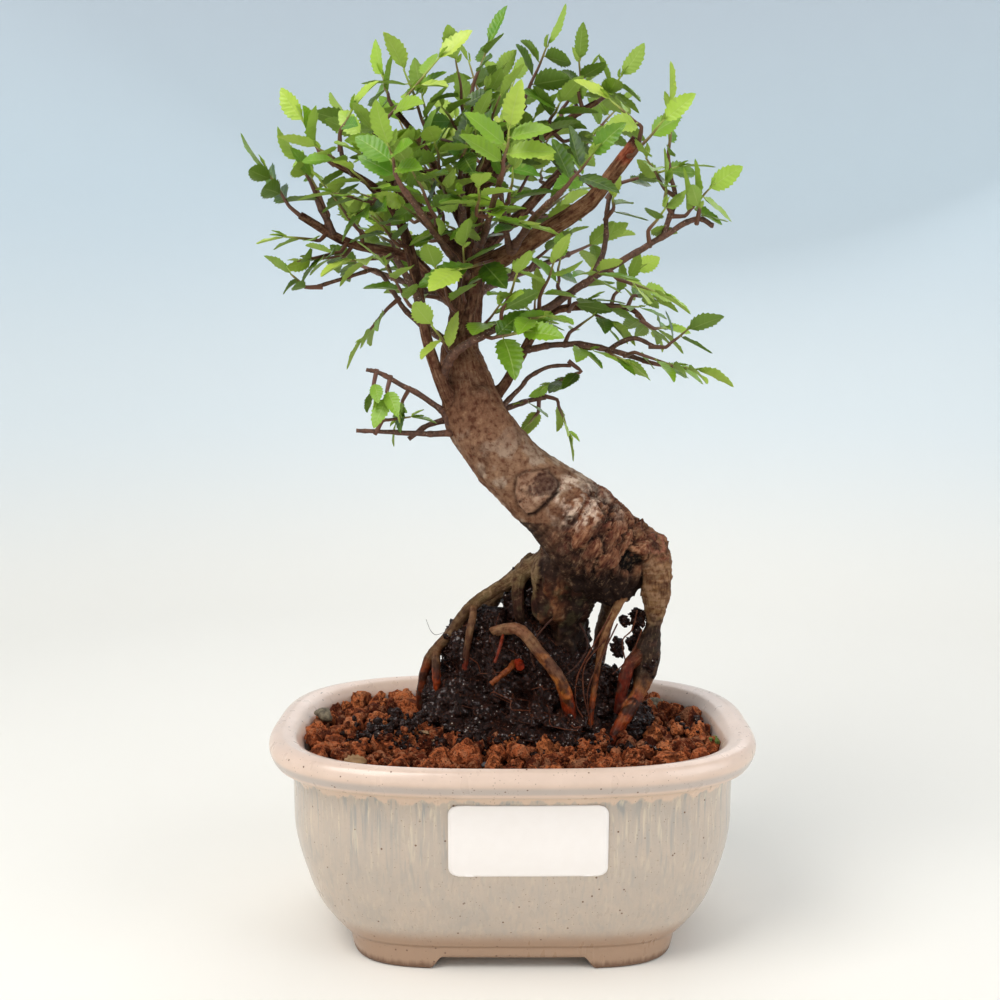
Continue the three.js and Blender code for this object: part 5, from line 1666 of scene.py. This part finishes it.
# The colours of the roots by height: greenish grey-brown above, wet orange and red where peat covered them; the
# centre root's dark tones are painted shade, as it stands under the trunk
ROOT_TONES = {
    "root_left": [(50, (44, 18, 8)), (57, (97, 36, 13)), (65, (118, 52, 19)), (71, (96, 67, 42)),
        (86, (98, 75, 48)), (99, (121, 97, 69))],
    "root_left_fork": [(54, (53, 18, 7)), (60, (155, 58, 14)), (66, (132, 49, 15)), (70, (96, 62, 37))],
    "root_left_drop": [(56, (56, 16, 7)), (66, (103, 29, 10)), (71, (71, 34, 15)), (80, (110, 75, 48))],
    "root_stub": [(74, (34, 20, 11)), (87, (53, 26, 16)), (90, (102, 80, 52)), (94, (106, 84, 56))],
    "root_arch": [(49, (29, 10, 4)), (55, (79, 22, 9)), (62, (130, 45, 14)), (66, (176, 104, 43)),
        (69, (89, 53, 37)), (76, (125, 89, 60)), (80, (123, 80, 55))],
    # painted shade: the centre root stands in the trunk's shadow
    "root_centre": [(68, (24, 13, 6)), (86, (50, 25, 12)), (92, (96, 60, 37)), (97, (116, 80, 50))],
    "root_right": [(50, (91, 24, 9)), (57, (132, 53, 17)), (61, (133, 82, 44)), (66, (85, 56, 36)),
        (70, (42, 27, 17)), (79, (54, 35, 22)), (83, (121, 88, 56)), (97, (129, 91, 61))],
    "root_right_fork": [(58, (62, 14, 6)), (66, (113, 34, 11)), (71, (83, 40, 18))],
    "root_thin": [(50, (85, 28, 9)), (60, (149, 65, 15)), (68, (110, 66, 33)), (84, (129, 91, 60))],
    "root_back": [(50, (62, 24, 10)), (66, (97, 44, 18)), (76, (92, 66, 42)), (94, (104, 80, 55))],
}
ROOT_TONES["root_back_left"] = ROOT_TONES["root_back"]


def near(points, spot):
    """1 at a spot's middle, falling to 0 at its edge."""
    away = np.linalg.norm(points - np.array(spot[:3]), axis=1)
    return 1 - smoothstep(spot[3] * 0.7, spot[3] * 1.2, away)


def from_outline(points, outline):
    """Seen from the front: how far each point is from the nearest stretch of an outline, and which it is."""
    flat = points[:, [0, 2]]
    best, which = np.full(len(points), FAR), np.zeros(len(points), dtype=int)
    for i, (start, end) in enumerate(zip(outline[:-1], outline[1:])):
        start, step = np.array(start, dtype=float), np.array(end, dtype=float) - start
        share = np.clip(((flat - start) @ step) / (step @ step), 0, 1)
        away = np.linalg.norm(flat - start - share[:, None] * step, axis=1)
        which[away < best] = i
        best = np.minimum(best, away)
    return best, which


def in_outline(points, outline):
    """Whether each point is inside an outline, seen from the front."""
    inside = np.zeros(len(points), dtype=bool)
    for (x1, z1), (x2, z2) in zip(outline[:-1], outline[1:]):
        if z1 != z2:
            crosses = (points[:, 2] > min(z1, z2)) & (points[:, 2] <= max(z1, z2))
            inside ^= crosses & (points[:, 0] < x1 + (points[:, 2] - z1) * (x2 - x1) / (z2 - z1))
    return inside



PULLS = 3
LONGEST_PULL = 0.8


def smooth_wood():
    """One skin round the thick limbs, with fillets where they meet: its mesh, points, ways out and facts."""
    spans = firm_spans()
    mesh = one_skin([rough_limb(name) for name in FIRM_LIMBS] + [rough_knob(knob) for knob in KNOBS],
                    GRAIN_OF_SKIN)
    points = mesh_points(mesh)
    for _ in range(PULLS):
        distance, way, facts = wood_skin(points, spans)
        distance, way = add_knobs(points, distance, way)
        points = points - way * np.clip(distance, -LONGEST_PULL, LONGEST_PULL)[:, None]
    distance, way, facts = wood_skin(points, spans)
    return mesh, points, way, facts


def make_wood(bark):
    """The thick wood with its bark: first its relief, then its colours, each from marks on the limbs."""
    mesh, points, way, facts = smooth_wood()
    limb, run, turn, radius, whole = facts.T
    names = np.array(FIRM_LIMBS)[limb.astype(int)]
    is_root = np.char.startswith(names, "root")
    is_trunk = names == "trunk"
    z = points[:, 2]
    thick = smoothstep(1.2, 6, radius)
    # Bark relief: flutes along the trunk, flakes on the buttress, rings on the right root, fibres above
    broad = lumps(points, 9, 1, 3)
    small = lumps(points, 1.6, 2, 3)
    round_x, round_y = np.cos(turn) * radius, np.sin(turn) * radius
    fibres = lumps(np.column_stack([round_x, round_y, run / 7 + limb * 9]), 0.8, 4, 2)
    relief = broad * 0.55 * thick + small * (0.08 + 0.12 * thick)
    flutes = np.sin(3 * turn + 0.05 * run) + 0.6 * np.sin(5 * turn - 0.11 * run)
    relief += is_trunk * radius * 0.04 * flutes
    relief += fibres * np.where(is_root, 0.05, 0.12) * (1 - 0.4 * thick)
    cracked = np.maximum(near(points, BUTTRESS), near(points, (20, 6, 104, 14)))
    border, flake = flakes(points, small)
    open_here = smoothstep(-0.25, 0.2, lumps(points, 5, 23, 2))
    crack = (1 - smoothstep(0.03, 0.2, border)) * cracked * (0.45 + 0.55 * open_here)
    strands = np.column_stack([points @ FLAKE_ALONG / 7, points[:, 1] / 1.3, points @ FLAKE_ACROSS])
    strands = lumps(strands, 0.62, 24, 2)
    flaked = flake * 1.1 + smoothstep(0.05, 0.3, border) * 0.3 - 0.6 + strands * 0.12
    relief += cracked * flaked - crack * 0.9
    front = smoothstep(0.1, 0.4, -way[:, 1])
    from_edge, stretch = from_outline(points, PLATE_OUTLINE)
    plate = in_outline(points, PLATE_OUTLINE) * front
    opened = np.where(stretch < OPEN_STRETCHES, 1.0, 0.55)
    groove = np.exp(-(from_edge / np.where(stretch < OPEN_STRETCHES, 0.5, 0.35)) ** 2) * front * opened
    relief += plate * smoothstep(0, 0.8, from_edge) * 0.7 - groove * 0.8
    wobble = lumps(points, 1.5, 25, 3)
    scar = smoothstep(0.1, 0.5, near(points, SCAR) + wobble * 0.8) * plate
    to_scar = np.linalg.norm(points - np.array(SCAR[:3]), axis=1)
    rings_of_scar = np.sin(to_scar * 3.4 + wobble * 4)
    relief += scar * (0.07 * rings_of_scar + 0.35 * wobble - 0.25)
    at_hollow = near(points, HOLLOW)
    hollow = smoothstep(0.3, 0.8, at_hollow + wobble * 0.8) * smoothstep(0, 0.3, at_hollow)
    relief -= hollow * 1.5 + near(points, NOTCH) * 1.6
    ringed = (names == "root_right") * smoothstep(78, 83, z) * (1 - smoothstep(98, 101, z))
    rings = np.sin(run * 2 * math.pi / 1.9 + broad * 3 + np.sin(turn * 2) * 0.8)
    relief += ringed * (0.2 * rings + 0.08 * small)
    burr = near(points, BURR)
    relief += burr * (lumps(points, 2.2, 9, 3) * 1.1)
    relief += is_root * (0.16 * lumps(points, 3.2, 6, 2) + 0.1 * small)
    lower = (is_trunk | (names == "root_centre")) * smoothstep(100, 95, z)
    ridges = lumps(points * (1, 1, 0.22), 2.6, 26, 3)
    relief += lower * ridges * 1.5
    slim = np.clip(radius / 2.2, 0.25, 1)
    points = points + way * (relief * slim)[:, None]
    move_points(mesh, points)
    # Colours, from the wet orange roots up to the dark red-brown of the crown, with painted shade under the
    # trunk, in its hollow and in its cracks
    tone = np.zeros((len(points), 3))
    tone[:] = linear(100, 66, 48)
    tone[is_trunk] = linear(138, 104, 80)
    cloud = lumps(points, 6, 11, 3)
    wisp = lumps(points, 2.4, 12, 3)

    def wash(colour, share):
        share = np.clip(share, 0, 1)[:, None]
        tone[:] = tone * (1 - share) + np.array(linear(*colour)) * share

    wash((176, 156, 136), smoothstep(0.05, 0.35, cloud) * is_trunk * 0.7)
    wash((120, 84, 62), smoothstep(0.05, 0.4, -cloud) * is_trunk * 0.75)
    wash((116, 78, 57), smoothstep(120, 140, z + cloud * 6) * is_trunk * 0.9)
    wash((88, 58, 42), smoothstep(0.15, 0.4, lumps(points * (1, 1, 0.5), 3, 17, 3)) * is_trunk * 0.5)
    wash((126, 78, 52), cracked * 0.9)
    wash((80, 45, 32), cracked * smoothstep(0.55, 0.2, flake) * 0.8)
    wash((174, 122, 90), cracked * smoothstep(0.6, 0.95, flake) * 0.7)
    wash((80, 47, 35), cracked * smoothstep(0.05, 0.35, -strands) * 0.4)
    wash((186, 138, 104), cracked * smoothstep(0.1, 0.4, strands) * 0.32)
    wash((184, 166, 148), cracked * smoothstep(0.1, 0.4, cloud) * smoothstep(106, 113, z) * 0.6)
    wash((222, 196, 174), near(points, PALE_PATCH) * smoothstep(-0.3, 0.2, wisp) * 0.85)
    wash((104, 50, 36), cracked * smoothstep(0.2, 0.4, wobble) * 0.6)
    wash((70, 44, 32), cracked * smoothstep(0.1, 0.4, -cloud) * smoothstep(110, 100, z) * 0.6)
    for name, stops in ROOT_TONES.items():
        chosen = (names == name) & ((z < stops[-1][0] + 3) | (cracked < 0.3))
        heights = [stop[0] for stop in stops]
        colours = np.array([linear(*stop[1]) for stop in stops])
        level = z + cloud * 5 + wisp * 2
        own = np.column_stack([np.interp(level, heights, colours[:, k]) for k in range(3)])
        share = (chosen * (1 - cracked * 0.7))[:, None]
        tone[:] = tone * (1 - share) + own * share
    # painted shade: the trunk's underside and the centre root below it darken where they face down
    under = smoothstep(0.05, 0.6, -way[:, 2]) * (z < 108) * (is_trunk | (names == "root_centre"))
    # the low trunk and centre root: a brown base, a painted highlight on the ridge crests, painted shade in the
    # grooves between them, and painted shade on the side under the trunk and towards the bottom
    wash((92, 52, 32), lower * (1 - cracked) * 0.8)
    wash((138, 90, 58), lower * smoothstep(0.05, 0.35, ridges) * 0.7)
    wash((44, 26, 18), lower * smoothstep(0.05, 0.3, -ridges) * 0.8)
    wash((34, 20, 14), lower * smoothstep(12, 17, points[:, 0] + wisp * 4) * smoothstep(96, 93, z) * 0.9)
    wash((34, 20, 14), lower * smoothstep(88, 80, z + cloud * 8) * 0.85)
    # painted shade on the undersides
    wash((34, 20, 14), under * 0.9)
    soaked = smoothstep(0.02, 0.22, lumps(points, 3.4, 21, 3))
    wash((24, 14, 10), is_root * soaked * smoothstep(76, 62, z) * 0.85)
    wash((70, 42, 30), is_root * smoothstep(0.15, 0.45, -wisp) * 0.5)
    wash((106, 100, 68), is_root * smoothstep(0.15, 0.45, wisp) * smoothstep(68, 80, z) * 0.2)
    wash((96, 62, 46), (z > 150) * smoothstep(145, 160, z) * 0.9)
    wash((60, 38, 28), smoothstep(148, 165, z) * smoothstep(0.0, 0.35, fibres) * 0.75)
    wash((150, 108, 84), smoothstep(140, 160, z) * smoothstep(0.1, 0.45, -fibres) * 0.5)
    great = names == "great_limb"
    end = whole[great].max()
    wash((132, 94, 66), great * 0.8)
    wash((92, 60, 42), great * smoothstep(0.0, 0.3, fibres) * 0.6)
    wash((140, 72, 50), great * smoothstep(end - 7, end - 5, run + wisp * 1.5) * 0.9)
    wash((172, 96, 70), great * smoothstep(end - 7, end - 5, run) * smoothstep(0.0, 0.3, fibres) * 0.6)
    wash((62, 36, 28), great * smoothstep(end - 2.2, end - 1.2, run) * 0.85)
    wash((84, 58, 42), ringed * smoothstep(0.2, 0.9, -rings) * 0.55)
    wash((168, 134, 106), ringed * smoothstep(0.4, 0.95, rings) * 0.4)
    wash((150, 92, 72), burr * smoothstep(0.0, 0.3, small) * 0.8)
    wash((74, 44, 32), burr * smoothstep(0.0, 0.3, -small) * 0.8)
    wash((164, 128, 104), plate * 0.5)
    wash((70, 44, 35), scar * (0.85 - 0.15 * rings_of_scar))
    # painted shade: the hollow is painted near black
    wash((14, 9, 7), hollow)
    # painted shade in the cracks of the buttress and the groove round the plate
    wash((38, 20, 14), np.maximum(crack * 0.95, groove))
    low = is_root * (1 - smoothstep(60, 74, z))
    grain = np.column_stack([round_x, round_y, run + limb * 40])
    over_bark = np.column_stack([points @ FLAKE_ACROSS, points[:, 1], points @ FLAKE_ALONG])
    note(mesh, "grain", "FLOAT_VECTOR", np.where(cracked[:, None] > 0.4, over_bark, grain))
    fibrous = np.where(is_trunk, smoothstep(132, 150, z) * 0.8, np.where(is_root, 0.45, 0.8))
    fibrous = np.maximum(fibrous + 0.15, cracked) * smoothstep(0.9, 0.5, lower * (1 - cracked))
    note(mesh, "fibrous", "FLOAT", fibrous)
    note(mesh, "tone", "FLOAT_COLOR", np.column_stack([tone, np.ones(len(points))]))
    note(mesh, "wet", "FLOAT", np.maximum(low, is_root * (z < 82) * 0.5))
    smooth = is_trunk * (1 - cracked) * smoothstep(108, 116, z) * (1 - smoothstep(140, 150, z))
    note(mesh, "smooth", "FLOAT", smooth)
    mesh.shade_smooth()
    new_piece("trunk_and_limbs", mesh, bark, ["tree_wood"])


# Cut and hair-thin roots: radius, colour, then the points of the route
SMALL_ROOTS = [
    (1.5, (130, 36, 12), [(1.5, 2, 70), (1.6, -2, 69.9), (2.1, -5, 69.5)]),
    (0.9, (118, 58, 24), [(0.4, -2, 69.8), (-0.6, -5.6, 69.2), (-3, -6.6, 67.4), (-5.6, -7.2, 65.4)]),
    (0.5, (116, 40, 18), [(-2.4, -1, 77), (-3.2, -4, 74.6), (-4.6, -5.2, 70.6)]),
    (0.22, (92, 46, 26), [(26, -5, 84), (20.4, -6, 74), (17, -6.5, 67), (16.6, -8, 60.5), (18.4, -9, 57)]),
    (0.2, (78, 40, 24), [(27.5, -5, 81), (22.9, -6.4, 71.5), (19.6, -8, 63.5), (20.5, -10, 54.5)]),
    (0.2, (96, 50, 28), [(34.2, -3, 79), (31.1, -4, 72), (26.4, -5, 67.5)]),
    (0.18, (86, 44, 26), [(24.4, -6, 77), (19, -7.5, 70.7), (18.5, -8.6, 63.8), (19.8, -9.4, 58)]),
    (0.2, (90, 48, 28), [(33, -2, 84), (31.6, -3, 79), (29, -3.6, 76), (30, -4, 70)]),
    (0.07, (90, 76, 62), [(-18.4, 6.6, 76), (-20.5, 3, 76.2), (-21.8, 1, 78), (-22.8, 0, 81)]),
    (0.3, (66, 36, 24), [(14, 0, 84), (9, -2, 80), (5, -3, 74), (6, -4, 69)]),
    (0.26, (60, 32, 22), [(18, 0, 80), (20, -3, 75), (17, -5.5, 70), (12, -6, 66)]),
]


FINE_ROOTS = 90


def make_small_roots(tree, bark):
    """Cut roots and rootlets: the ones in plain view, and a web of fine ones over the peat."""
    random = np.random.default_rng(12)
    routes = [(radius, colour, smooth_route(points, 6)) for radius, colour, points in SMALL_ROOTS]
    for _ in range(FINE_ROOTS):
        height, turn = random.uniform(52, 82), random.uniform(0, 2 * math.pi)
        route = []
        for _ in range(int(random.integers(5, 12))):
            ring = mound_ring(height, 36)
            spot = ring[int(turn / (2 * math.pi) * 36) % 36]
            out = unit(spot - PEAT_MIDDLE)
            route.append(crumbly(spot[None], out[None])[0] + out * 0.12)
            height = min(max(height + random.normal() * 1.2, 51), 83)
            turn += random.normal() * 0.05 + 0.05
        shade = random.uniform(0.7, 1.2)
        colour = tuple(shade * c for c in (84, 42, 24))
        routes.append((random.uniform(0.08, 0.2), colour, smooth_route(route, 2)))
    points, edges, thick, tone = [], [], [], []
    for radius, colour, route in routes:
        for i, point in enumerate(route):
            if i:
                edges.append((len(points) - 1, len(points)))
            points.append(point)
            thick.append(radius * (1 - 0.25 * i / len(route)) * (1 + 0.5 * noise.noise(Vector(point))))
            tone.append(rgba(*colour))
    source = new_mesh("small roots", points, [], edges)
    note(source, "thick", "FLOAT", np.array(thick) * MM)
    note(source, "tone", "FLOAT_COLOR", tone)
    note(source, "wet", "FLOAT", np.full(len(points), 0.8))
    note(source, "grain", "FLOAT_VECTOR", points)
    note(source, "fibrous", "FLOAT", np.full(len(points), 0.5))
    mesh = grown("small roots", source, tree, Sides=7, Finish=bark)
    new_piece("small_roots", mesh, None, ())


# Each thin twig is bent by three noises: the shifts that keep its x, y and z apart
CROOK_SHIFTS = [(9.3, -1.5, -8), (0, 0, 0), (6.3, 0.2, -2.7)]


def make_thin_wood(tree, bark):
    """The thin twigs, a little crooked and thicker at their nodes."""
    random = np.random.default_rng(21)
    points, edges, thick, tone = [], [], [], []
    for name, limb in LIMBS.items():
        if name in FIRM_LIMBS:
            continue
        length = np.linalg.norm(np.diff(np.array(limb)[:, :3], axis=0), axis=1).sum()
        route = smooth_route(limb, max(int(length / (len(limb) - 1) / 0.7), 3))
        step = length / len(route)
        first = len(points)
        phase = random.uniform(0, 5)
        for i, (x, y, z, radius) in enumerate(route):
            run = i * step + phase
            node = math.exp(-(((run % 5.2) - 2.6) / 0.5) ** 2)
            place = Vector((x, y, z)) / 4
            wobble = np.array([noise.noise(place + Vector(shift)) for shift in CROOK_SHIFTS]) * 0.22
            share = min(i, len(route) - 1 - i) / 3
            wobble *= min(share, 1)
            points.append((x + wobble[0], y + wobble[1], z + wobble[2]))
            grain = noise.noise(Vector((x, y, z)) / 1.4)
            thick.append(radius * (1 + 0.2 * node + 0.12 * grain))
            colour = np.array(linear(102, 66, 48)) * (1 + 0.5 * grain)
            tone.append((*np.clip(colour, 0, 1), 1))
            if i:
                edges.append((first + i - 1, first + i))
    source = new_mesh("thin wood", points, [], edges)
    note(source, "thick", "FLOAT", np.array(thick) * MM)
    note(source, "tone", "FLOAT_COLOR", tone)
    mesh = grown("thin twigs", source, tree, Sides=10, Finish=bark)
    new_piece("thin_twigs", mesh, None, ["tree_wood"])


# Leaves

TEETH = 7
LEAF_WIDTH_ALONG = [0, 0.06, 0.16, 0.3, 0.44, 0.58, 0.72, 0.84, 0.93, 1]
LEAF_WIDTH = [0, 0.42, 0.76, 0.96, 1.0, 0.93, 0.75, 0.5, 0.26, 0]
PETIOLE = 0.07
BLADE_THICK = 0.022


def leaf_shape(name, random, wide, fold, arch, teeth=TEETH):
    """A toothed blade one unit long from its foot, along +X, closed by a flatter underside."""
    lean = random.uniform(-0.06, 0.06)
    wave = random.uniform(0.008, 0.022)
    phase = random.uniform(0, 6)
    curl = random.uniform(-0.2, 0.2)
    points, lie, under = [], [], []

    def put(share, across, half, drop=0.0, below=0.0):
        part = abs(across) / wide
        sway = wave * math.sin(share * 14 + phase + (2 if across > 0 else 0)) * part
        rise = fold * abs(across) * (1.2 - 0.4 * part) - arch * share ** 2 + sway + curl * across * share
        skew = lean * math.sin(share * math.pi)
        points.append((PETIOLE + (1 - PETIOLE) * share, across + skew * 0.5, rise - drop))
        lie.append((0.5 + 0.5 * (across / half if half else 0.0), share))
        under.append(below)
        return len(points) - 1

    foot, tip = put(0, 0, 0), put(1, 0, 0)
    rows = []
    for tooth in range(teeth):
        start = 0.05 + 0.9 * tooth / teeth
        for share, bite in ((start, 0.9), (start + 0.72 / teeth, 1.1)):
            half = wide * float(np.interp(share, LEAF_WIDTH_ALONG, LEAF_WIDTH)) * bite
            left = put(share, -half, half, 0, 0.5)
            rib = put(share, 0, half)
            right = put(share, half, half, 0, 0.5)
            rows.append((left, rib, right, put(share, 0, half, BLADE_THICK, 1.0)))
    faces = []
    for end, left, rib, right, below in ((foot, *rows[0]), (tip, *rows[-1])):
        ring = [(end, left, rib), (end, rib, right), (end, below, left), (end, right, below)]
        faces += ring if end == foot else [face[::-1] for face in ring]
    for one, two in zip(rows[:-1], rows[1:]):
        faces += [(one[0], two[0], two[1], one[1]), (one[1], two[1], two[2], one[2])]
        faces += [(one[3], two[3], two[0], one[0]), (one[2], two[2], two[3], one[3])]
    made = unit_mesh(name, points, outward(np.array(points), faces))
    layer = made.uv_layers.new(name="lie")
    loops = np.zeros(len(made.loops), dtype=np.int32)
    made.loops.foreach_get("vertex_index", loops)
    layer.data.foreach_set("uv", np.array(lie, dtype=np.float32)[loops].ravel())
    note(made, "under", "FLOAT", under)
    rim = {foot, tip} | {row[0] for row in rows} | {row[2] for row in rows}
    sharp = made.attributes.new("sharp_edge", "BOOLEAN", "EDGE")
    for edge in made.edges:
        sharp.data[edge.index].value = edge.vertices[0] in rim and edge.vertices[1] in rim
    return made


GROWN_SHAPES = 14
YOUNG_SHAPES = 4


def leaf_collection():
    random = np.random.default_rng(17)
    shapes = []
    for i in range(GROWN_SHAPES):
        wide, fold, arch = random.uniform(0.2, 0.27), random.uniform(0.08, 0.5), random.uniform(0.02, 0.24)
        shapes.append(leaf_shape(f"leaf shape {i}", random, wide, fold, arch))
    for i in range(YOUNG_SHAPES):
        wide, fold, arch = random.uniform(0.16, 0.21), random.uniform(0.3, 0.7), random.uniform(0.05, 0.2)
        shapes.append(leaf_shape(f"young leaf shape {i}", random, wide, fold, arch, 5))
    return shape_collection("leaves", shapes)


class Twig:
    """The stems and leaves of one leafy twig, gathered before its mesh is grown."""

    def __init__(self, random):
        self.random = random
        self.points, self.edges = [], []
        self.thick, self.age, self.tint = [], [], []
        self.holds, self.size, self.pick, self.turn = [], [], [], []

    def _put(self, point, thick, age, holds=False, size=0.0, pick=0, turn=(1, 0, 0, 0), tint=0.0):
        self.points.append(tuple(point))
        for values, value in ((self.thick, thick), (self.age, age), (self.holds, holds), (self.size, size),
                              (self.pick, pick), (self.turn, tuple(turn)), (self.tint, tint)):
            values.append(value)

    def stem(self, route, ages):
        """A stem along a route of x, y, z, radius."""
        for i, (x, y, z, radius) in enumerate(route):
            if i:
                self.edges.append((len(self.points) - 1, len(self.points)))
            share = i / (len(route) - 1)
            self._put((x, y, z), radius, ages[0] + (ages[1] - ages[0]) * share)

    def leaf(self, foot, direction, normal, length, age, young=False):
        """A blade with its short stalk, from the stem out."""
        lift = direction * PETIOLE * length
        bend = foot + lift * 0.5 + normal * 0.02 * length
        thick = min(0.024 * length, 0.24)
        stalk = [(*foot, thick), (*bend, thick * 0.85), (*(foot + lift * 1.4), thick * 0.6)]
        self.stem(stalk, (age * 0.5, age * 0.4))
        first = GROWN_SHAPES if young else 0
        pick = first + int(self.random.integers(0, YOUNG_SHAPES if young else GROWN_SHAPES))
        turn = quaternion(direction, normal)
        self._put(foot, 0.0, age, True, length, pick, turn, self.random.uniform(0, 1))

    def mesh(self, name, tree, leaves, stem, blade):
        source = new_mesh(name, self.points, [], self.edges)
        note(source, "thick", "FLOAT", np.array(self.thick) * MM)
        note(source, "age", "FLOAT", self.age)
        note(source, "tint", "FLOAT", self.tint)
        note(source, "holds", "BOOLEAN", self.holds)
        note(source, "size", "FLOAT", np.array(self.size) * MM)
        note(source, "pick", "INT", self.pick)
        note(source, "turn", "QUATERNION", self.turn)
        return grown(name, source, tree, Leaves=leaves, Sides=7, Stem=stem, Blade=blade)


def leafy_stem(twig, spray, leaves, random):
    """A stem with its grown leaves, and small new ones at its tip; its foot is inside its limb."""
    base, knee, tip = stem_route(spray)
    along = unit(tip - knee)
    sway = unit(np.cross(along, UP + 0.01)) * 0.3
    reach = np.linalg.norm(tip - knee)
    foot = base - unit(knee - base) * ROOTED
    line = [(*foot, 0.62), (*base, 0.6)]
    steps = max(int(reach / 1.4), 3)
    for i in range(steps + 1):
        share = i / steps
        place = knee + (tip - knee) * share + sway * math.sin(share * math.pi * 2.5) * (1 - share * 0.5)
        line.append((*place, 0.5 - 0.27 * share))
    fresh = random.uniform(-0.1, 0.5)
    twig.stem(smooth_route(line, 2), (1.25, fresh))
    mature = random.uniform(0.3, 0.95) - 0.12 * (fresh < 0.15)
    for point, direction, normal, length in leaves:
        place = np.dot(point - knee, along) / reach
        age = mature + random.uniform(-0.14, 0.14) - 0.35 * max(place, 0) ** 3
        twig.leaf(point, direction, normal, length, float(np.clip(age, 0.05, 1)))
    facing = unit(np.cross(np.cross(along, UP + 0.01), along))
    for i in range(random.integers(2, 4)):
        swing = random.uniform(-0.8, 0.8)
        side = np.cross(facing, along)
        direction = unit(along + side * swing + facing * random.uniform(0, 0.5))
        normal = unit(facing - direction * np.dot(facing, direction))
        length, age = random.uniform(2.0, 4.8), random.uniform(0.0, 0.15)
        twig.leaf(tip - along * 0.4 * i, direction, normal, length, age, True)


def make_twigs(tree, stem, blade):
    """One piece for each leafy twig of the model, and one for the further twigs of each limb."""
    bag = leaf_collection()
    room = Room()
    leaves = grow_leaves(SPRAYS, room)
    for index, (spray, blades) in enumerate(zip(SPRAYS, leaves)):
        random = np.random.default_rng(500 + index)
        twig = Twig(random)
        leafy_stem(twig, spray, blades, random)
        name = f"leafy_twig_{index + 1:02d}"
        mesh = twig.mesh(name, tree, bag, stem, blade)
        new_piece(name, mesh, None, [f"spray_{index + 1:02d}"])
    random = np.random.default_rng(31)
    further = list(EXTRA_TWIGS)
    for name, (start, spacing) in SIDE_TWIGS.items():
        further += side_twigs(name, start, spacing, random)
    leaves = grow_leaves(further, room, len(SPRAYS), CLOSE_LEAF_CLEARANCE, CLOSE_WOOD_CLEARANCE,
                         face_up=0.95, face_out=0.3)
    for name in dict.fromkeys(spray[0] for spray in further):
        twig = Twig(random)
        for spray, blades in zip(further, leaves):
            if spray[0] == name:
                leafy_stem(twig, spray, blades, random)
        new_piece(f"{name}_more_twigs", twig.mesh(name, tree, bag, stem, blade), None, ())
    empty_bag(bag)


# The room, the light and the camera; the room is in millimetres, the camera's place in metres

FLOOR_REACH = 420
WALL_BEND = 300
WALL_TOP = 1400
FLOOR_DROP = 0.05
CAMERA_PLACE = (-0.0032, -0.313, 0.1486)
CAMERA_PITCH = 83.5
FOCAL_LENGTH = 43.2
LAMP_AIM = (0, 0, 0.11)


def make_stage(finish):
    """A round floor that turns up into a wall, all of it pale."""
    profile = [(FLOOR_REACH, 0)]
    for step in range(1, 15):
        turn = step / 14 * math.pi / 2
        profile.append((FLOOR_REACH + WALL_BEND * math.sin(turn), WALL_BEND - WALL_BEND * math.cos(turn)))
    profile.append((FLOOR_REACH + WALL_BEND, WALL_TOP))
    sides = 96
    turns = np.arange(sides) / sides * 2 * math.pi
    rings = [np.column_stack([reach * np.cos(turns), reach * np.sin(turns), np.full(sides, height - FLOOR_DROP)])
             for reach, height in profile]
    points = np.concatenate([[[0, 0, -FLOOR_DROP]], *rings])
    faces = [(0, 1 + i, 1 + (i + 1) % sides) for i in range(sides)]
    faces += [tuple(index + 1 for index in face[::-1]) for face in quads(len(rings), sides)]
    room = bpy.data.objects.new("room", new_mesh("room", points, faces))
    room.data.materials.append(finish)
    bpy.context.scene.collection.objects.link(room)


def area_light(name, place, power, size, colour=(1, 1, 1)):
    """A square lamp that looks at the tree."""
    lamp = bpy.data.lights.new(name, "AREA")
    lamp.energy = power
    lamp.size = size
    lamp.color = colour
    holder = bpy.data.objects.new(name, lamp)
    holder.location = place
    aim = Vector(HOME) + Vector(LAMP_AIM)
    holder.rotation_euler = (aim - Vector(place)).to_track_quat("-Z", "Y").to_euler()
    holder.visible_camera = False
    bpy.context.scene.collection.objects.link(holder)


def make_light():
    scene = bpy.context.scene
    world = bpy.data.worlds.new("pale room light")
    world.use_nodes = True
    sky = world.node_tree.nodes["Background"]
    sky.inputs["Color"].default_value = (0.94, 0.96, 1.0, 1.0)
    sky.inputs["Strength"].default_value = 0.5
    scene.world = world
    area_light("window above", (-0.34, -0.3, 0.62), 3.5, 0.42, (1.0, 0.98, 0.95))
    area_light("room to the right", (0.5, -0.25, 0.35), 1.25, 0.4, (0.95, 0.97, 1.0))
    area_light("room behind", (0.1, 0.5, 0.5), 1.1, 0.5)
    scene.view_settings.view_transform = "Standard"
    scene.view_settings.look = "None"
    scene.view_settings.exposure = 0.0


def make_camera():
    """The camera stands where the photograph was taken from."""
    lens = bpy.data.cameras.new("camera")
    lens.lens = FOCAL_LENGTH
    lens.sensor_width = 36
    lens.clip_start = 0.01
    camera = bpy.data.objects.new("camera", lens)
    camera.location = Vector(HOME) + Vector(CAMERA_PLACE)
    camera.rotation_euler = (math.radians(CAMERA_PITCH), 0, 0)
    bpy.context.scene.collection.objects.link(camera)
    bpy.context.scene.camera = camera


scattering, branching = scatter_tree(), branch_tree()
make_pot(glaze_look())
make_label(paper_look())
mesh_node = frame["nodes"]["drain_mesh"]
mesh_node.data.materials.clear()
mesh_node.data.materials.append(plastic_look())
ground = make_bed(scattering, clay_look())
make_peat(scattering, peat_look(), ground)
make_litter(scattering, ground)
bark = bark_look()
make_wood(bark)
make_small_roots(branching, bark)
make_thin_wood(branching, twig_look())
make_twigs(twig_tree(), stem_look(), leaf_look())
make_stage(backdrop_look())
make_light()
make_camera()
